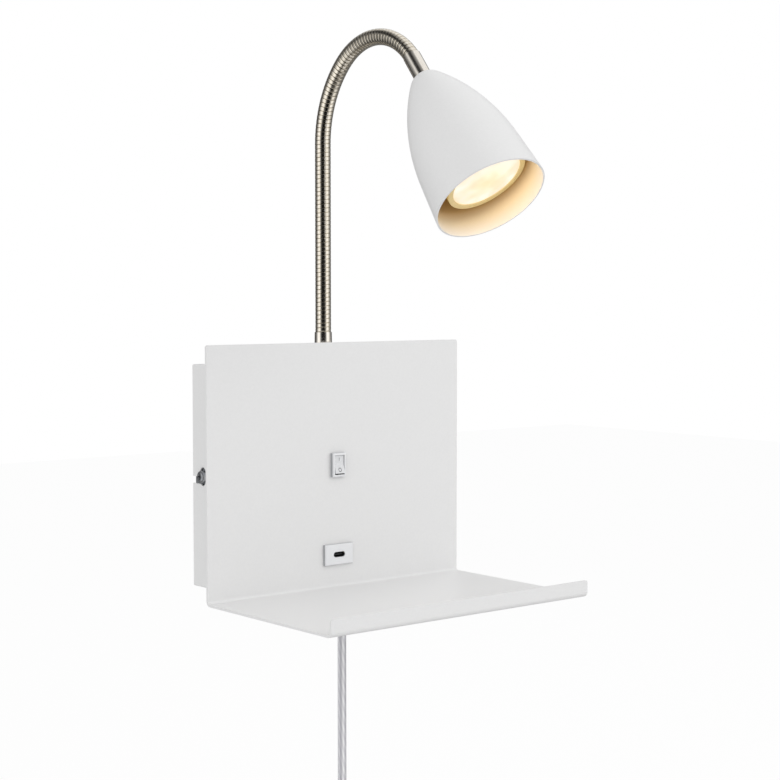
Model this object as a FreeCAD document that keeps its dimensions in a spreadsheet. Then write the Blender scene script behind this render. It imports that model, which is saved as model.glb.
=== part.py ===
import FreeCAD, Part
import math
import os
import re

# Wall lamp with shelf, millimetres. +X right, +Y into the wall, +Z up.
# The origin is on the wall plane, midway between the two slotted holes of the wall bracket.

doc = FreeCAD.newDocument("wall_lamp_with_shelf")
Vector = FreeCAD.Vector

SIZES = [
    # bent sheet: back panel, shelf and front lip in one piece
    ("panel_width", 200, "panel and shelf, left to right"),
    ("panel_top", 81, "panel's upper edge above the origin"),
    ("panel_bottom", 76.2, "shelf's underside below the origin"),
    ("shelf_depth", 122, "panel's front face to the lip's front face"),
    ("lip_height", 10.5, "lip, from the shelf's underside"),
    ("panel_gauge", 1.5, "thickness of the bent sheet"),
    ("bend_radius", 2, "inside radius of both bends"),
    ("sheet_corner", 1.5, "rounding of the sheet's free corners"),
    # wall box, open to the wall
    ("box_width", 179, "wall box, left to right"),
    ("box_height", 137, "wall box, upper to lower face"),
    ("box_depth", 30, "wall plane to the panel's rear face"),
    ("box_gauge", 1, "thickness of the box sheet"),
    ("box_corner", 1, "outer rounding of the box"),
    ("side_slot_width", 5.8, "upright leg of the hook slot in each side"),
    ("side_slot_height", 11.4, "upright leg of the hook slot, end to end"),
    ("entry_width", 4.4, "way into the slot from the box's rear edge"),
    ("entry_drop", 2.5, "middle of that way below the slot's middle"),
    ("side_screw_depth", 11, "side screws' axis in front of the wall"),
    # wall bracket
    ("bracket_height", 24, "strip, upper to lower edge"),
    ("bracket_gauge", 1.5, "thickness of the strip"),
    ("bracket_gap", 0.4, "ear to box side"),
    ("ear_depth", 17, "ear, wall to front edge"),
    ("wall_slot_spacing", 60, "between the middles of the wall slots"),
    ("wall_slot_width", 5, "slot for the wall screw"),
    ("wall_slot_length", 12, "slot for the wall screw, end to end"),
    # metric screws
    ("side_screw_radius", 2, "M4 shank"),
    ("side_screw_head", 3.7, "radius of the pan head"),
    ("side_head_height", 2.6, "height of the pan head"),
    ("side_screw_length", 9, "under the head"),
    ("stud_radius", 2, "M4 weld stud"),
    ("stud_length", 9, "behind the panel"),
    ("stud_spread", 140, "between the stud columns"),
    ("stud_rise", 100, "between the stud rows"),
    ("nut_flats", 7, "M4 nut across flats"),
    ("nut_height", 3.2, "M4 nut"),
    ("hole_gap", 0.15, "play round a screw in a clearance hole"),
    # flexible neck
    ("hose_radius", 5, "outside of the ribbed hose"),
    ("hose_bore", 3, "radius of the hose's bore"),
    ("rib_pitch", 2.7, "rib to rib"),
    ("rib_depth", 0.35, "groove between two ribs"),
    ("ball_gap", 0.3, "between a hose end's ball and the next one's cup"),
    ("neck_straight", 119.5, "upright stretch above the base ferrule"),
    ("lower_arc_radius", 66.55, "first part of the bow"),
    ("lower_arc_turn", 47, "degrees"),
    ("upper_arc_radius", 46.7, "second part of the bow"),
    ("head_tilt", 51.5, "shade's axis below the horizontal, degrees"),
    ("neck_tail", 14.05, "straight end of the hose's line, down to the shade"),
    ("head_seat", 10, "how deep the hose sits in the head ferrule"),
    ("first_joint", 9, "lowest bending point above the base ferrule"),
    ("last_joint", 12, "highest bending point before the head ferrule"),
    # ferrules and nipple
    ("ferrule_height", 18.6, "base ferrule above the box"),
    ("ferrule_foot", 5.8, "its radius at the box"),
    ("ferrule_top", 5.5, "its radius at the hose"),
    ("ferrule_seat", 12, "how deep the hose sits in a ferrule"),
    ("seat_gap", 0.05, "play round the hose in a ferrule"),
    ("head_ferrule_radius", 5.4, "head ferrule"),
    ("head_ferrule_length", 17, "head ferrule above the shade"),
    ("head_seat_gap", 0.2, "play round the slightly bent hose in it"),
    ("nipple_radius", 4, "M8 threaded tube"),
    ("nipple_below", 11, "threaded tube under the box top"),
    ("grub_radius", 1.5, "M3 grub screw"),
    ("grub_height", 9, "grub screw's axis above the shade"),
    # shade, a drawn bell: flat top, crown arc, body arc, straight skirt
    ("shade_length", 94.2, "top to rim"),
    ("shade_wall", 1, "sheet of the shade"),
    ("shade_flat", 6, "radius of the flat top"),
    ("crown_slope", 57.7, "crown's steepest angle to the axis, degrees"),
    ("crown_radius", 13.7, "crown arc"),
    ("crown_turn", 24.2, "degrees"),
    ("body_radius", 131.5, "body arc"),
    ("body_turn", 28.9, "degrees"),
    # lampholder and its bracket, on the shade's axis
    ("collar_length", 9.5, "collar that holds the bracket off the shade"),
    ("holder_gauge", 1, "holder bracket strip"),
    ("holder_strip", 9, "width of that strip"),
    ("holder_pivot", 23, "side screws of the lampholder below the shade top"),
    ("holder_lean", 5.2, "lampholder turned on those screws, degrees"),
    ("holder_radius", 13, "ceramic body"),
    ("holder_half", 9.3, "half its width over the flats"),
    ("holder_rise", 6, "half its height"),
    ("holder_screw", 1.5, "M3 side screws"),
    ("side_play", 0.2, "holder flat to bracket leg"),
    # GU10 lamp
    ("pin_circle", 5, "pins from the lamp's axis"),
    ("pin_shank", 1.5, "radius"),
    ("pin_head", 2.5, "radius"),
    ("pin_length", 7.5, "overall"),
    ("pin_head_length", 2.5, "foot of the pin"),
    ("twist_angle", 25, "turn that locks the lamp, degrees"),
    ("bulb_gap", 0.3, "lampholder to lamp base"),
    ("bulb_neck", 11, "radius of the lamp's base"),
    ("bulb_neck_length", 13, "lamp's base"),
    ("bulb_front", 25, "radius of the lamp's front ring"),
    ("bulb_length", 51, "base to front ring"),
    ("bulb_wall", 1.4, "lamp's housing"),
    ("lens_radius", 21.8, "clear disc"),
    ("lens_edge", 1.6, "thickness of the disc's edge"),
    ("lens_crown", 1.5, "how far the disc is domed"),
    # switch and USB module share a middle line
    ("device_side", 1.6, "middle of both, left of the origin"),
    # rocker switch
    ("switch_height", 3.3, "switch centre above the origin"),
    ("bezel_long", 15.2, "bezel, upright"),
    ("bezel_wide", 10.6, "bezel, across"),
    ("bezel_proud", 2.8, "bezel in front of the panel"),
    ("switch_body_long", 13.4, "body, upright"),
    ("switch_body_wide", 8.8, "body, across"),
    ("switch_body_deep", 14, "body behind the panel's front face"),
    ("switch_wall", 0.5, "body wall round the rocker"),
    ("switch_well", 8, "depth of the rocker's well from the bezel's face"),
    ("rocker_half", 5.7, "rocker's middle to its end"),
    ("rocker_side_gap", 0.3, "rocker to well, each side"),
    ("rocker_angle", 8, "rocker to each side of level, degrees"),
    ("rocker_pin", 1, "radius of the rocker's pivot"),
    ("rocker_pin_gap", 0.05, "play of the pivot"),
    # USB-C module
    ("usb_drop", 53.8, "module's centre below the origin"),
    ("usb_wide", 22.4, "bezel, across"),
    ("usb_high", 13.2, "bezel, upright"),
    ("usb_proud", 2.2, "bezel in front of the panel"),
    ("usb_body_wide", 19.6, "body, across"),
    ("usb_body_high", 10.8, "body, upright"),
    ("usb_body_deep", 16, "body behind the panel's front face"),
    ("port_wide", 9.2, "port"),
    ("port_high", 3.5, "port"),
    ("port_deep", 8, "port"),
    ("port_shell", 0.3, "steel shell in the port"),
    ("cutout_gap", 0.2, "module to panel cut-out"),
    ("bezel_edge", 0.6, "chamfer of both bezels"),
    # inside the box
    ("driver_long", 38, "mains to 5 V module"),
    ("driver_high", 26, "mains to 5 V module"),
    ("driver_deep", 19, "mains to 5 V module"),
    ("driver_left", 46, "its middle, left of the origin"),
    ("driver_drop", 44, "its middle, below the origin"),
    ("block_long", 32, "five-way terminal block"),
    ("block_pitch", 6.4, "way to way"),
    ("block_high", 16, "terminal block"),
    ("block_deep", 13, "terminal block"),
    ("block_right", 48, "its middle, right of the origin"),
    ("block_drop", 30, "its middle, below the origin"),
    ("terminal_radius", 1.9, "terminal screw"),
    # mains lead
    ("cord_width", 6.2, "flat twin lead"),
    ("cord_thick", 3.1, "flat twin lead"),
    ("cord_side", 14.7, "lead's exit, right of the origin"),
    ("gland_collar", 7, "radius of the strain relief's collar"),
    ("gland_neck", 5, "radius in the box's wall"),
    ("gland_tip", 4.3, "radius at its lower end"),
    ("gland_length", 22, "below the box"),
    ("gland_gap", 0.15, "play round the lead"),
    ("lead_inside", 14, "lead above the box's floor"),
    ("coil_drop", 262, "coil's middle below the origin"),
    ("coil_radius", 48, "first turn"),
    ("coil_pitch", 6.7, "turn to turn, and layer to layer"),
    ("coil_tail", 58, "straight end down to the plug"),
    ("tie_width", 7, "band round the coil"),
    ("tie_gauge", 1.2, "thickness of the band"),
    ("tie_gap", 0.5, "band to lead"),
    ("plug_width", 35.3, "flat two-pin plug"),
    ("plug_thick", 13.7, "flat two-pin plug"),
    ("plug_length", 36, "flat two-pin plug"),
    ("plug_pin_spacing", 18.6, "pin to pin"),
    ("plug_pin_radius", 2, "pin"),
    ("plug_pin_length", 19, "pin"),
    # wires
    ("wire_radius", 1, "insulated single wire"),
]

sheet = doc.addObject("Spreadsheet::Sheet", "Sizes")
for row, (alias, value, note) in enumerate(SIZES, 1):
    sheet.set("A%d" % row, alias)
    sheet.set("B%d" % row, str(value))
    sheet.set("C%d" % row, note)
    sheet.setAlias("B%d" % row, alias)
doc.recompute()

ALIASES = {alias for alias, _, _ in SIZES}


def size(alias):
    """A driving dimension, read from the sheet."""
    return float(getattr(sheet, alias))


def formula(text):
    """The same formula with each alias written as a cell of the sheet."""
    return re.sub(
        r"[a-z][a-z_]+",
        lambda word: "Sizes." + word[0] if word[0] in ALIASES else word[0],
        str(text),
    )


def bind(item, **formulas):
    """Ties properties of an object to formulas of the sheet."""
    for name, text in formulas.items():
        item.setExpression(name.replace("__", "."), formula(text))
    return item


def at(item, x, y, z):
    """Ties an object's place to three formulas."""
    return bind(item, Placement__Base__x=x, Placement__Base__y=y, Placement__Base__z=z)


# ---------------------------------------------------------------- building blocks

AXIS_TURN = {
    "x": FreeCAD.Rotation(Vector(0, 1, 0), 90),
    "y": FreeCAD.Rotation(Vector(1, 0, 0), -90),
    "z": FreeCAD.Rotation(),
}


def block(name, wide, deep, high, x, y, z):
    """A box of width along X, depth along Y and height along Z, with its low corner at x, y, z."""
    item = doc.addObject("Part::Box", name)
    return at(bind(item, Length=wide, Width=deep, Height=high), x, y, z)


def centred(name, wide, deep, high, x, y, z):
    """A box whose X and Z are centred on x and z, and whose front or low Y face is at y."""
    return block(name, wide, deep, high, "%s - (%s)/2" % (x, wide), y, "%s - (%s)/2" % (z, high))


def rod(name, radius, length, x, y, z, along="z"):
    """A cylinder that starts at x, y, z and runs along an axis."""
    item = doc.addObject("Part::Cylinder", name)
    item.Placement = FreeCAD.Placement(Vector(), AXIS_TURN[along])
    return at(bind(item, Radius=radius, Height=length), x, y, z)


def cone(name, low_radius, high_radius, length, x, y, z):
    """A cone frustum that starts at x, y, z and runs up Z."""
    item = doc.addObject("Part::Cone", name)
    return at(bind(item, Radius1=low_radius, Radius2=high_radius, Height=length), x, y, z)


def hexagon(name, flats, length, x, y, z, along="z"):
    """A hexagonal prism of a width across flats."""
    item = doc.addObject("Part::Prism", name)
    item.Polygon = 6
    item.Placement = FreeCAD.Placement(Vector(), AXIS_TURN[along])
    return at(bind(item, Circumradius="(%s)/sqrt(3)" % flats, Height=length), x, y, z)


def fuse(name, *items):
    """One solid, or a group of separate solids, from several."""
    item = doc.addObject("Part::MultiFuse", name)
    item.Shapes = list(items)
    item.Refine = True
    return item


def cut(name, base, *tools):
    """A base with one or more tools cut away."""
    item = doc.addObject("Part::Cut", name)
    item.Base = base
    item.Tool = tools[0] if len(tools) == 1 else fuse(name + "_tools", *tools)
    item.Refine = True
    return item


def rounded(name, base, radius, test):
    """The base with every edge that passes the test filleted."""
    doc.recompute()
    item = doc.addObject("Part::Fillet", name)
    item.Base = base
    item.Edges = [(i, radius, radius) for i, e in enumerate(base.Shape.Edges, 1) if test(e)]
    return item


def bevelled(name, base, length, test):
    """The base with every edge that passes the test chamfered."""
    doc.recompute()
    item = doc.addObject("Part::Chamfer", name)
    item.Base = base
    item.Edges = [(i, length, length) for i, e in enumerate(base.Shape.Edges, 1) if test(e)]
    return item


def made(name, shape, placement=None):
    """A free-form solid, with its placement set after its shape."""
    item = doc.addObject("Part::Feature", name)
    item.Shape = shape
    if placement is not None:
        item.Placement = placement
    return item


def lies_along(edge, direction):
    """Whether a straight edge runs along a direction."""
    if edge.Curve.TypeId != "Part::GeomLine":
        return False
    return abs(edge.tangentAt(edge.FirstParameter).dot(direction)) > 0.999


def near(point, x=None, y=None, z=None, slack=0.01):
    """Whether a point has the given coordinates, those left out being free."""
    wanted = zip((point.x, point.y, point.z), (x, y, z))
    return all(target is None or abs(value - target) < slack for value, target in wanted)


ALONG_X, ALONG_Y, ALONG_Z = Vector(1, 0, 0), Vector(0, 1, 0), Vector(0, 0, 1)
parts = {}


def keep(label, item, placement=None):
    """Names a finished sub-part, and places it."""
    item.Label = label
    if placement is not None:
        item.Placement = placement
    parts[label] = item
    return item


front_y = -(size("box_depth") + size("panel_gauge"))
BACK = "-box_depth"
FRONT = "-(box_depth + panel_gauge)"

# ---------------------------------------------------------------- shelf panel


def shelf_panel():
    """The back panel, shelf and lip: one sheet with two bends and two module cut-outs."""
    gauge, bend = size("panel_gauge"), size("bend_radius")
    bottom, back = -size("panel_bottom"), -size("box_depth")
    lip_y = front_y - size("shelf_depth")
    half, top = size("panel_width") / 2, size("panel_top")
    lip_top = bottom + size("lip_height")
    left = "-panel_width/2"
    upright = block("upright", "panel_width", "panel_gauge", "panel_top + panel_bottom",
                    left, FRONT, "-panel_bottom")
    shelf = block("shelf", "panel_width", "shelf_depth + panel_gauge", "panel_gauge",
                  left, FRONT + " - shelf_depth", "-panel_bottom")
    lip = block("lip", "panel_width", "panel_gauge", "lip_height",
                left, FRONT + " - shelf_depth", "-panel_bottom")
    folded = fuse("folded_sheet", upright, shelf, lip)
    inner = [(front_y, bottom + gauge), (lip_y + gauge, bottom + gauge)]
    outer = [(back, bottom), (lip_y, bottom)]

    def is_bend(corners):
        return lambda e: lies_along(e, ALONG_X) and any(
            near(e.CenterOfMass, y=y, z=z) for y, z in corners
        )

    inside = rounded("inside_bends", folded, bend, is_bend(inner))
    outside = rounded("outside_bends", inside, bend + gauge, is_bend(outer))
    corners = rounded(
        "sheet_corners", outside, size("sheet_corner"),
        lambda e: lies_along(e, ALONG_Y) and e.Length < 2 * gauge
        and abs(abs(e.CenterOfMass.x) - half) < 0.01
        and (near(e.CenterOfMass, z=top) or near(e.CenterOfMass, z=lip_top)),
    )
    deep = "panel_gauge + 2"
    behind = FRONT + " - 1"
    switch_hole = centred("switch_hole", "switch_body_wide + 2*cutout_gap", deep,
                          "switch_body_long + 2*cutout_gap", "-device_side", behind, "switch_height")
    usb_hole = centred("usb_hole", "usb_body_wide + 2*cutout_gap", deep,
                       "usb_body_high + 2*cutout_gap", "-device_side", behind, "-usb_drop")
    keep("shelf_panel", cut("panel_sheet", corners, switch_hole, usb_hole))


def stud_places():
    """Middles of the four weld studs, as formulas."""
    return [(x + "stud_spread/2", z + "stud_rise/2") for x in ("-", "") for z in ("-", "")]


def panel_fixings():
    """Weld studs on the panel's back and the nuts that clamp the box to it."""
    studs, nuts = [], []
    for n, (x, z) in enumerate(stud_places()):
        studs.append(rod("stud_%d" % n, "stud_radius", "stud_length", x, BACK, z, "y"))
        body = hexagon("nut_body_%d" % n, "nut_flats", "nut_height", x, BACK + " + box_gauge", z, "y")
        bore = rod("nut_bore_%d" % n, "stud_radius + seat_gap", "nut_height + 2",
                   x, BACK + " + box_gauge - 1", z, "y")
        nuts.append(cut("nut_%d" % n, body, bore))
    keep("panel_studs", fuse("all_studs", *studs))
    keep("stud_nuts", fuse("all_nuts", *nuts))


# ---------------------------------------------------------------- wall box and bracket


def wall_box():
    """A tray of thin sheet, open to the wall, with a hook slot in each side."""
    width, height = size("box_width"), size("box_height")
    block_out = block("box_outer", "box_width", "box_depth", "box_height",
                      "-box_width/2", BACK, "-box_height/2")
    shell = rounded(
        "box_rounded", block_out, size("box_corner"),
        lambda e: lies_along(e, ALONG_Y) and abs(abs(e.CenterOfMass.x) - width / 2) < 0.01
        and abs(abs(e.CenterOfMass.z) - height / 2) < 0.01,
    )
    hollow = block("box_hollow", "box_width - 2*box_gauge", "box_depth", "box_height - 2*box_gauge",
                   "-box_width/2 + box_gauge", BACK + " + box_gauge", "-box_height/2 + box_gauge")
    deep = "box_gauge + 2"
    tools = [hollow]
    tools.append(centred("box_switch_hole", "switch_body_wide + 2*cutout_gap", deep,
                         "switch_body_long + 2*cutout_gap", "-device_side", BACK + " - 1",
                         "switch_height"))
    tools.append(centred("box_usb_hole", "usb_body_wide + 2*cutout_gap", deep,
                         "usb_body_high + 2*cutout_gap", "-device_side", BACK + " - 1", "-usb_drop"))
    for n, (x, z) in enumerate(stud_places()):
        tools.append(rod("box_stud_hole_%d" % n, "stud_radius + hole_gap", deep, x, BACK + " - 1", z, "y"))
    tools.append(rod("neck_hole", "nipple_radius + hole_gap", deep,
                     "0", "-box_depth/2", "box_height/2 - box_gauge - 1"))
    tools.append(rod("gland_hole", "gland_neck + hole_gap", deep,
                     "cord_side", "-box_depth/2", "-box_height/2 - 1"))
    for side, x in (("left", "-box_width/2 - 1"), ("right", "box_width/2 - box_gauge - 1")):
        leg = "side_slot_height/2 - side_slot_width/2"
        for end, z in (("upper", leg), ("lower", "-(%s)" % leg)):
            tools.append(rod("%s_slot_%s" % (side, end), "side_slot_width/2", deep,
                             x, "-side_screw_depth", z, "x"))
        tools.append(block(side + "_slot_leg", deep, "side_slot_width", "2*(%s)" % leg,
                           x, "-side_screw_depth - side_slot_width/2", "-(%s)" % leg))
        tools.append(block(side + "_slot_entry", deep, "side_screw_depth + 1", "entry_width",
                           x, "-side_screw_depth", "-entry_drop - entry_width/2"))
    keep("wall_box", cut("box_sheet", shell, *tools))


def wall_bracket():
    """The strip that is screwed to the wall, with an ear at each end for a side screw."""
    reach = "(box_width/2 - box_gauge - bracket_gap)"
    strip = block("strip", "2*" + reach, "bracket_gauge", "bracket_height",
                  "-" + reach, "-bracket_gauge", "-bracket_height/2")
    solids, tools = [strip], []
    for side, x in (("left", "-" + reach), ("right", reach + " - bracket_gauge")):
        solids.append(block(side + "_ear", "bracket_gauge", "ear_depth", "bracket_height",
                            x, "-ear_depth", "-bracket_height/2"))
        tools.append(rod(side + "_thread", "side_screw_radius + seat_gap", "bracket_gauge + 2",
                         x + " - 1", "-side_screw_depth", "0", "x"))
        middle = ("-" if side == "left" else "") + "wall_slot_spacing/2"
        run = "(wall_slot_length - wall_slot_width)"
        for end, sign in (("inner", "-"), ("outer", "+")):
            tools.append(rod("%s_wall_%s" % (side, end), "wall_slot_width/2", "bracket_gauge + 2",
                             "%s %s %s/2" % (middle, sign, run), "-bracket_gauge - 1", "0", "y"))
        tools.append(block(side + "_wall_middle", run, "bracket_gauge + 2", "wall_slot_width",
                           "%s - %s/2" % (middle, run), "-bracket_gauge - 1", "-wall_slot_width/2"))
    folded = fuse("bracket_strip", *solids)
    reach_mm = size("box_width") / 2 - size("box_gauge") - size("bracket_gap")
    bent = rounded(
        "bracket_bends", folded, size("bracket_gauge"),
        lambda e: lies_along(e, ALONG_Z) and abs(abs(e.CenterOfMass.x) - reach_mm) < 0.01
        and near(e.CenterOfMass, y=0),
    )
    front = rounded(
        "ear_corners", bent, 3 * size("bracket_gauge"),
        lambda e: lies_along(e, ALONG_X) and near(e.CenterOfMass, y=-size("ear_depth")),
    )
    keep("wall_bracket", cut("bracket_sheet", front, *tools))


def side_screws():
    """Two pan-head screws that run through the box's hook slots into the bracket's ears."""
    screws = []
    for side, sign in (("left", -1), ("right", 1)):
        seat = "%d*box_width/2" % sign
        shank_x = seat if sign < 0 else seat + " - side_screw_length"
        head_x = seat + " - side_head_height" if sign < 0 else seat
        shank = rod(side + "_shank", "side_screw_radius", "side_screw_length",
                    shank_x, "-side_screw_depth", "0", "x")
        blank = rod(side + "_head_blank", "side_screw_head", "side_head_height",
                    head_x, "-side_screw_depth", "0", "x")
        face = sign * (size("box_width") / 2 + size("side_head_height"))
        head = rounded(side + "_head", blank, 0.6 * size("side_head_height"),
                       lambda e, face=face: near(e.CenterOfMass, x=face) and e.Length > 6)
        cross = []
        for n, (deep, high) in enumerate((("4", "0.9"), ("0.9", "4"))):
            cross.append(block("%s_cross_%d" % (side, n), "2.8", deep, high,
                               "%s - 1.4 + %d*side_head_height" % (seat, sign),
                               "-side_screw_depth - %s/2" % deep, "-%s/2" % high))
        screws.append(cut(side + "_screw", fuse(side + "_blank", shank, head), *cross))
    keep("side_screws", fuse("both_side_screws", *screws))


# ---------------------------------------------------------------- flexible neck

base_z = size("box_height") / 2 + size("ferrule_height")
axis_y = -size("box_depth") / 2
turn_total = 90 + size("head_tilt")
NECK = [
    (size("neck_straight"), 0.0),
    (math.radians(size("lower_arc_turn")) * size("lower_arc_radius"), size("lower_arc_turn")),
    (math.radians(turn_total - size("lower_arc_turn")) * size("upper_arc_radius"),
     turn_total - size("lower_arc_turn")),
    (size("neck_tail"), 0.0),
]
neck_length = sum(length for length, _ in NECK)
hose_end = neck_length - size("neck_tail")


def on_neck(s):
    """Frame of the neck's middle line at distance s above the base ferrule: its +Z runs along the neck."""
    y, z, heading = axis_y, base_z, 0.0
    for n, (length, turn) in enumerate(NECK):
        step = s if n == 0 and s < 0 else min(s, length)
        if turn:
            radius = length / math.radians(turn)
            part = turn * step / length
            a, b = math.radians(heading), math.radians(heading + part)
            y -= radius * (math.cos(a) - math.cos(b))
            z += radius * (math.sin(b) - math.sin(a))
            heading += part
        else:
            y -= step * math.sin(math.radians(heading))
            z += step * math.cos(math.radians(heading))
        s -= step
        if s <= 1e-9:
            break
    return FreeCAD.Placement(Vector(0, y, z), FreeCAD.Rotation(ALONG_X, heading))


HINGES = 7
first, last = size("first_joint"), hose_end - size("last_joint")
hinge_at = [first + (last - first) * n / (HINGES - 1) for n in range(HINGES)]


def hoop(s, radius):
    """A circle round the neck at distance s, starting on the +X side."""
    ring = Part.makeCircle(radius)
    ring.Placement = on_neck(s)
    return Part.Wire([ring])


def ribbed(start, end, plain_start, plain_end):
    """Ruled loft of ribs along the neck, plain near its ends: four circles to a rib."""
    outer, pitch = size("hose_radius"), size("rib_pitch")
    inner = outer - size("rib_depth")
    stations = [(start, outer)]
    s = start + plain_start
    while s + pitch <= end - plain_end:
        stations += [(s, outer), (s + 0.14 * pitch, inner), (s + 0.32 * pitch, inner),
                     (s + 0.46 * pitch, outer)]
        s += pitch
    while s + 0.4 * pitch < end:
        stations.append((s, outer))
        s += pitch
    stations.append((end, outer))
    body = Part.makeLoft([hoop(s, r) for s, r in stations], True, True)
    steps = max(1, round((end - start + 12) / 6))
    lane = [start - 6 + (end - start + 12) * n / steps for n in range(steps + 1)]
    bore = Part.makeLoft([hoop(s, size("hose_bore")) for s in lane], True, True)
    return body, bore


def ball(s, radius):
    """A sphere at distance s along the neck."""
    return Part.makeSphere(radius, on_neck(s).Base)


def hose_segments():
    """The ribbed hose: each length ends in a ball that the next one's cup sits on."""
    radius, gap = size("hose_radius"), size("ball_gap")
    pitch = size("rib_pitch")
    ends = [-size("ferrule_seat")] + hinge_at + [hose_end + size("head_seat")]
    names = ["hose_foot"] + ["hose_%d" % n for n in range(1, HINGES)] + ["hose_top"]
    for n, name in enumerate(names):
        start, end = ends[n], ends[n + 1]
        has_cup, has_ball = n > 0, n < HINGES
        low = start + 0.5 if has_cup else start
        sleeve = size("head_seat") + size("head_ferrule_length") - size("neck_tail")
        body, bore = ribbed(low, end, 0.9 * pitch if has_cup else size("ferrule_seat") + 0.5,
                            0.9 * pitch if has_ball else sleeve + 0.5)
        if has_ball:
            body = body.fuse(ball(end, radius))
        if has_cup:
            body = body.cut(ball(start, radius + gap))
        body = body.cut(bore)
        keep(name, made(name, body))


def base_ferrule():
    """The turned sleeve on the box, its nipple through the box's top, washer and nut."""
    top = "box_height/2"
    y = "-box_depth/2"
    sleeve = cone("ferrule_blank", "ferrule_foot", "ferrule_top", "ferrule_height", "0", y, top)
    seat = rod("ferrule_socket", "hose_radius + seat_gap", "ferrule_seat + 1",
               "0", y, top + " + ferrule_height - ferrule_seat")
    thread = rod("ferrule_thread", "nipple_radius + seat_gap", "ferrule_height", "0", y, top + " - 1")
    keep("base_ferrule", cut("ferrule_turned", sleeve, seat, thread))
    tube = rod("nipple_tube", "nipple_radius", "nipple_below + ferrule_height - ferrule_seat - 0.2",
               "0", y, top + " - nipple_below")
    bore = rod("nipple_bore", "hose_bore", "nipple_below + ferrule_height",
               "0", y, top + " - nipple_below - 1")
    keep("neck_nipple", cut("nipple_turned", tube, bore))
    under = top + " - box_gauge"
    disc = rod("washer_disc", "nipple_radius*1.9", "1", "0", y, under + " - 1")
    hole = rod("washer_hole", "nipple_radius + hole_gap", "3", "0", y, under + " - 2")
    keep("neck_washer", cut("washer_cut", disc, hole))
    body = hexagon("locknut_body", "13", "4", "0", y, under + " - 5")
    hole = rod("locknut_hole", "nipple_radius + seat_gap", "6", "0", y, under + " - 6")
    keep("neck_locknut", cut("locknut_cut", body, hole))


# ---------------------------------------------------------------- lamp head
# Head parts are drawn round +Z, with the shade's flat top at z = 0 and its rim below, at +Z.

head_frame = on_neck(neck_length)
holder_frame = head_frame.multiply(
    FreeCAD.Placement(Vector(0, 0, size("holder_pivot")),
                      FreeCAD.Rotation(ALONG_Y, size("holder_lean")))
)


def bell_edges(offset):
    """Crown arc, body arc and skirt of the bell, moved inwards by an offset, from top to rim."""
    slope = math.radians(size("crown_slope"))
    z, r = 0.0, size("shade_flat")

    def inward(a):
        return math.sin(a), -math.cos(a)

    edges = []
    for radius, turn in ((size("crown_radius"), size("crown_turn")),
                         (size("body_radius"), size("body_turn"))):
        turn = math.radians(turn)
        dz, dr = inward(slope)
        centre_z, centre_r = z + radius * dz, r + radius * dr
        points = []
        for share in (0, 0.5, 1):
            dz, dr = inward(slope - share * turn)
            points.append(Vector(centre_r - (radius - offset) * dr, 0,
                                 centre_z - (radius - offset) * dz))
        edges.append(Part.Arc(*points).toShape())
        slope -= turn
        dz, dr = inward(slope)
        z, r = centre_z - radius * dz, centre_r - radius * dr
    dz, dr = inward(slope)
    start = Vector(r + offset * dr, 0, z + offset * dz)
    end_r = r + (size("shade_length") - z) * math.tan(slope)
    end = Vector(end_r + offset * dr, 0, size("shade_length") + offset * dz)
    edges.append(Part.LineSegment(start, end).toShape())
    return edges


def join(a, b):
    """A straight edge between two points."""
    return Part.LineSegment(a, b).toShape()


def revolved(edges, chain):
    """A closed profile, its edges and the points that close it, turned about Z."""
    loop = list(edges) + [join(a, b) for a, b in zip(chain, chain[1:])]
    face = Part.Face(Part.Wire(Part.__sortEdges__(loop)))
    return face.revolve(Vector(), ALONG_Z, 360)


def lamp_shade():
    """The drawn bell: outer and inner skin, with a hole in its flat top."""
    outer, inner = bell_edges(0), bell_edges(size("shade_wall"))
    hole = size("nipple_radius") + size("hole_gap")
    top_out, top_in = outer[0].Vertexes[0].Point, inner[0].Vertexes[0].Point
    rim_out, rim_in = outer[-1].Vertexes[-1].Point, inner[-1].Vertexes[-1].Point
    edges = outer + inner + [join(rim_out, rim_in)]
    chain = [top_out, Vector(hole, 0, 0), Vector(hole, 0, top_in.z), top_in]
    keep("lamp_shade", made("lamp_shade", revolved(edges, chain), head_frame))


def head_ferrule():
    """The smooth sleeve on the hose's end, with its threaded nose through the shade, and its grub screw."""
    nose = "collar_length + holder_gauge + 3"
    sleeve = rod("head_sleeve", "head_ferrule_radius", "head_ferrule_length",
                 "0", "0", "-head_ferrule_length")
    tube = rod("head_nose", "nipple_radius", nose, "0", "0", "0")
    seat = rod("head_socket", "hose_radius + head_seat_gap",
               "head_ferrule_length + 1 - (neck_tail - head_seat)", "0", "0", "-head_ferrule_length - 1")
    bore = rod("head_bore", "hose_bore", "neck_tail + " + nose + " + 2", "0", "0", "-neck_tail - 1")
    thread = rod("grub_thread", "grub_radius + seat_gap", "head_ferrule_radius",
                 "0", "0", "-grub_height", "x")
    body = cut("ferrule_body", fuse("ferrule_parts", sleeve, tube), seat, bore, thread)
    keep("head_ferrule", body, head_frame)
    screw = rod("grub_blank", "grub_radius", "head_ferrule_radius - hose_radius - 0.1 + 0.3",
                "hose_radius + 0.1", "0", "-grub_height", "x")
    socket = rod("grub_socket", "grub_radius*0.45", "0.4",
                 "head_ferrule_radius", "0", "-grub_height", "x")
    keep("grub_screw", cut("grub_cut", screw, socket), head_frame)


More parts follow.
